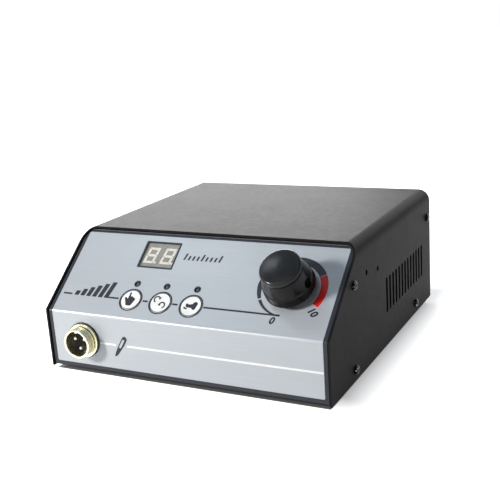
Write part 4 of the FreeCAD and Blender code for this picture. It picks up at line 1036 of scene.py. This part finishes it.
def threaded_socket():
    """The socket's shell with a real thread on its barrel."""
    start = socket_seat + thread_gap
    end = socket_reach - socket_bevel
    count = int((end - start) / thread_pitch * thread_steps)
    profile = [
        (socket_bore, socket_back),
        (socket_sleeve, socket_back),
        (socket_sleeve, socket_washer),
        (socket_flange, socket_washer),
        (socket_flange, socket_seat - socket_bevel),
        (socket_flange - socket_bevel, socket_seat),
        (socket_barrel - thread_depth, socket_seat),
    ]
    for number in range(count + 1):
        profile.append((socket_barrel, start + number * (end - start) / count))
    profile.append((socket_barrel - socket_bevel, socket_reach))
    profile.append((socket_bore + socket_bevel, socket_reach))
    profile.append((socket_bore, socket_reach - socket_bevel))

    def thread(turn, radius, z):
        """A point's place, which on the barrel follows the thread."""
        if radius != socket_barrel:
            return radius, z
        wave = (z / thread_pitch - turn / (2 * math.pi)) % 1
        ridge = 1 - abs(2 * wave - 1)
        ends = min((z - start) / thread_end, (end - z) / thread_end, 1)
        depth = thread_depth * (1 - min(ridge * thread_crest, 1)) * max(ends, 0)
        return radius - depth - thread_play, z

    mesh = lathe_mesh("socket_thread", profile, socket_steps, thread)
    rib = rectangle(-rib_half, rib_half, socket_bore - rib_height, socket_bore + rib_sink)
    bar = filled_mesh("rib", [rib], socket_reach - rib_shorter)
    bar.transform(Matrix.Translation((0, 0, rib_back)))
    joined = join_meshes("socket_threaded", [mesh, bar])
    shade_by_angle(joined, socket_smooth)
    joined.transform(FRONT @ Matrix.Translation((socket_x, socket_z, 0)))
    piece = add_piece("socket_threaded", joined, materials["socket_metal"], "case")
    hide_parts("socket_shell")


# Studio, with places and sizes in metres
softboxes = {  # place, width, height, watts and colour
    "key_softbox": ((-0.82, -0.98, 0.55), 0.22, 0.22, 18.0, (1, 0.985, 0.96)),
    "rear_softbox": ((-1.35, 1.7, 0.75), 1.8, 0.7, 37, (1, 1, 1)),
    "ceiling_softbox": ((-0.84, -0.16, 1.52), 0.3, 0.3, 1.6, (0.85, 0.93, 1)),
    "front_softbox": ((-0.4, -1.05, 1.3), 0.6, 0.6, 2.0, (0.9, 0.95, 1)),
    "edge_softbox": ((0.25, 1.75, 0.8), 1.2, 0.5, 6.5, (1, 1, 1)),
}
lit_point = (0, 0, 0.05)  # where they all point


def studio():
    """Soft area lights that the camera doesn't see."""
    for name, (place, width, height, watts, colour) in softboxes.items():
        lamp = bpy.data.lights.new(name, "AREA")
        lamp.shape = "RECTANGLE"
        lamp.size = width
        lamp.size_y = height
        lamp.energy = watts
        lamp.color = colour
        light = bpy.data.objects.new(name, lamp)
        bpy.context.scene.collection.objects.link(light)
        light.location = place
        aim = Vector(lit_point) - Vector(place)
        light.rotation_euler = aim.to_track_quat("-Z", "Y").to_euler()
        light.visible_camera = False


def shows_backdrop(nodes):
    """1 for the rays that see the white studio: from the camera, in gloss and through glass."""
    path = nodes.new("ShaderNodeLightPath")
    share = path.outputs["Is Camera Ray"]
    for name in ("Is Glossy Ray", "Is Transmission Ray"):
        larger = nodes.new("ShaderNodeMath")
        larger.operation = "MAXIMUM"
        nodes.id_data.links.new(share, larger.inputs[0])
        nodes.id_data.links.new(path.outputs[name], larger.inputs[1])
        share = larger.outputs[0]
    return share


floor_reach = 6.0
floor_drop = 0.0002  # under the feet
FLOOR_WHITE = (0.9, 0.9, 0.9, 1)
FLOOR_PAINTED_SHADE = (0.2, 0.2, 0.2, 1)  # painted shade, well under the object
glow_near = 0.4  # the floor's own white in the core of the painted shadow, a patch behind the object where its real shadow is darkest
glow_far = 1.0
glow_edge = 0.001  # from the painted dark floor under the object, which has no white of its own, to the rest
glow_reach = 0.018  # from the painted shadow's core to the full white
painted_shadow_shift = (0, 0.022, 0)  # of the painted shadow's core, away from the key light
painted_shade_inset = (0.0018, 0.0045)  # of the painted dark floor under the object's edges
painted_shade_shift = (-0.0012, 0, 0)  # of that painted dark floor, away from the side in the light


def beyond_object(nodes, shift, inset):
    """How far a point is outside the object's outline, moved by shift and made smaller by inset."""
    centre = nodes.add("ShaderNodeVectorMath", operation="SUBTRACT")
    sides = nodes.add("ShaderNodeVectorMath", operation="ABSOLUTE")
    beyond = nodes.add("ShaderNodeVectorMath", operation="SUBTRACT")
    outside = nodes.add("ShaderNodeVectorMath", operation="MAXIMUM")
    away = nodes.add("ShaderNodeVectorMath", operation="LENGTH")
    middle = (cover_low + cover_high) / 2 + Vector(shift)
    centre.inputs[1].default_value = (middle.x, middle.y, 0)
    half = (cover_high - cover_low) / 2
    beyond.inputs[1].default_value = (half.x - inset[0], half.y - inset[1], 0)
    steps = [nodes.place(), centre, sides, beyond, outside, away]
    for before, after in zip(steps, steps[1:]):
        nodes.link(before, "Vector", after, 0)
    return away


def floor():
    """A pale floor that turns into the white backdrop away from the object, with painted shade: its own
    white is lower in a patch behind the object, which deepens the real shadow there, and it is painted
    dark under the object.
    """
    mesh = bpy.data.meshes.new("floor")
    corners = [(x, y, 0) for x, y in centred(floor_reach, floor_reach)]
    mesh.from_pydata(corners, [], [(0, 1, 2, 3)])
    piece = bpy.data.objects.new("floor", mesh)
    bpy.context.scene.collection.objects.link(piece)
    piece.location.z = -floor_drop
    nodes = Nodes("studio_floor").base(FLOOR_WHITE, 0.7, Specular_IOR_Level=0.1)
    # Painted shadow: the floor's own white is lowered in a patch placed from the case's outline and
    # moved back, not by the lamps.
    shadow = beyond_object(nodes, painted_shadow_shift, (0, 0))
    strength = nodes.ramp(shadow, "Value", 0, glow_reach, glow_near, glow_far)
    # Painted shade: the floor's colour and white are dark under the object, inset from its edges.
    foot = beyond_object(nodes, painted_shade_shift, painted_shade_inset)
    outside_painted_shade = nodes.ramp(foot, "Value", 0, glow_edge, 0, 1)
    nodes.tint(outside_painted_shade, "Result", FLOOR_PAINTED_SHADE, FLOOR_WHITE, 0, 1)
    open_floor = nodes.add("ShaderNodeMath", operation="MULTIPLY")
    nodes.link(strength, "Result", open_floor, 0)
    nodes.link(outside_painted_shade, "Result", open_floor, 1)
    share = nodes.add("ShaderNodeMath", operation="MULTIPLY")
    nodes.link(open_floor, "Value", share, 0)
    nodes.tree.links.new(shows_backdrop(nodes.tree.nodes), share.inputs[1])
    glow = nodes.add("ShaderNodeEmission")
    nodes.link(share, "Value", glow, "Strength")
    both = nodes.add("ShaderNodeAddShader")
    nodes.link(nodes.shader, "BSDF", both, 0)
    nodes.link(glow, "Emission", both, 1)
    nodes.link(both, "Shader", nodes.output, "Surface")
    mesh.materials.append(nodes.material)


SKY = (0.46, 0.56, 0.68, 1)  # the studio's ceiling, where the white walls end
sky_low = 0.35  # the height of a ray at which it starts
sky_high = 0.85
ROOM_LIGHT = (0.82, 0.91, 1.0, 1)
room_strength = 0.12


def world():
    """White walls and a cooler ceiling to the camera and in gloss, and a plain light on the object."""
    backdrop = bpy.data.worlds.new("studio")
    backdrop.use_nodes = True
    tree = backdrop.node_tree
    tree.nodes.clear()
    output = tree.nodes.new("ShaderNodeOutputWorld")
    light = tree.nodes.new("ShaderNodeBackground")
    light.inputs["Color"].default_value = ROOM_LIGHT
    light.inputs["Strength"].default_value = room_strength
    source = tree.nodes.new("ShaderNodeTexCoord")
    parts = tree.nodes.new("ShaderNodeSeparateXYZ")
    height = tree.nodes.new("ShaderNodeMapRange")
    height.inputs["From Min"].default_value = sky_low
    height.inputs["From Max"].default_value = sky_high
    sky = tree.nodes.new("ShaderNodeMix")
    sky.data_type = "RGBA"
    sky.inputs[MIX_FIRST].default_value = (1, 1, 1, 1)
    sky.inputs[MIX_SECOND].default_value = SKY
    white = tree.nodes.new("ShaderNodeBackground")
    white.inputs["Strength"].default_value = 1.0
    tree.links.new(source.outputs["Generated"], parts.inputs["Vector"])
    tree.links.new(parts.outputs["Z"], height.inputs["Value"])
    tree.links.new(height.outputs["Result"], sky.inputs["Factor"])
    tree.links.new(sky.outputs[MIX_RESULT], white.inputs["Color"])
    mix = tree.nodes.new("ShaderNodeMixShader")
    tree.links.new(shows_backdrop(tree.nodes), mix.inputs["Fac"])
    tree.links.new(light.outputs["Background"], mix.inputs[1])
    tree.links.new(white.outputs["Background"], mix.inputs[2])
    tree.links.new(mix.outputs["Shader"], output.inputs["Surface"])
    bpy.context.scene.world = backdrop


def photo_camera():
    """The camera of the photograph."""
    azimuth = math.radians(camera_azimuth)
    elevation = math.radians(camera_elevation)
    roll = math.radians(camera_roll)
    level = math.cos(elevation)
    forward = Vector(
        (-math.sin(azimuth) * level, math.cos(azimuth) * level, -math.sin(elevation))
    )
    side = Vector((math.cos(azimuth), math.sin(azimuth), 0))
    top = side.cross(forward)
    right = side * math.cos(roll) + top * math.sin(roll)
    above = right.cross(forward)
    lens = bpy.data.cameras.new("photo_camera")
    lens.sensor_width = sensor_width
    lens.lens = sensor_width * focal_pixels / photo_pixels
    lens.clip_start = camera_near
    camera = bpy.data.objects.new("photo_camera", lens)
    bpy.context.scene.collection.objects.link(camera)
    turned = Matrix((right, above, -forward)).transposed().to_4x4()
    place = Vector((0, cover_low.y, cover_low.z)) + Vector(camera_place)
    camera.matrix_world = Matrix.Translation(place) @ turned
    bpy.context.scene.camera = camera


dress_nodes()
film_border()
key_line()
level_bars()
unit_ticks()
key_rings()
window_border()
speed_scale()
scale_numbers()
key_signs()
front_stripe()
handpiece_sign()
rocker_marks()
rear_signs()
threaded_socket()
studio()
floor()
world()
photo_camera()
bpy.context.scene.view_settings.view_transform = "Standard"
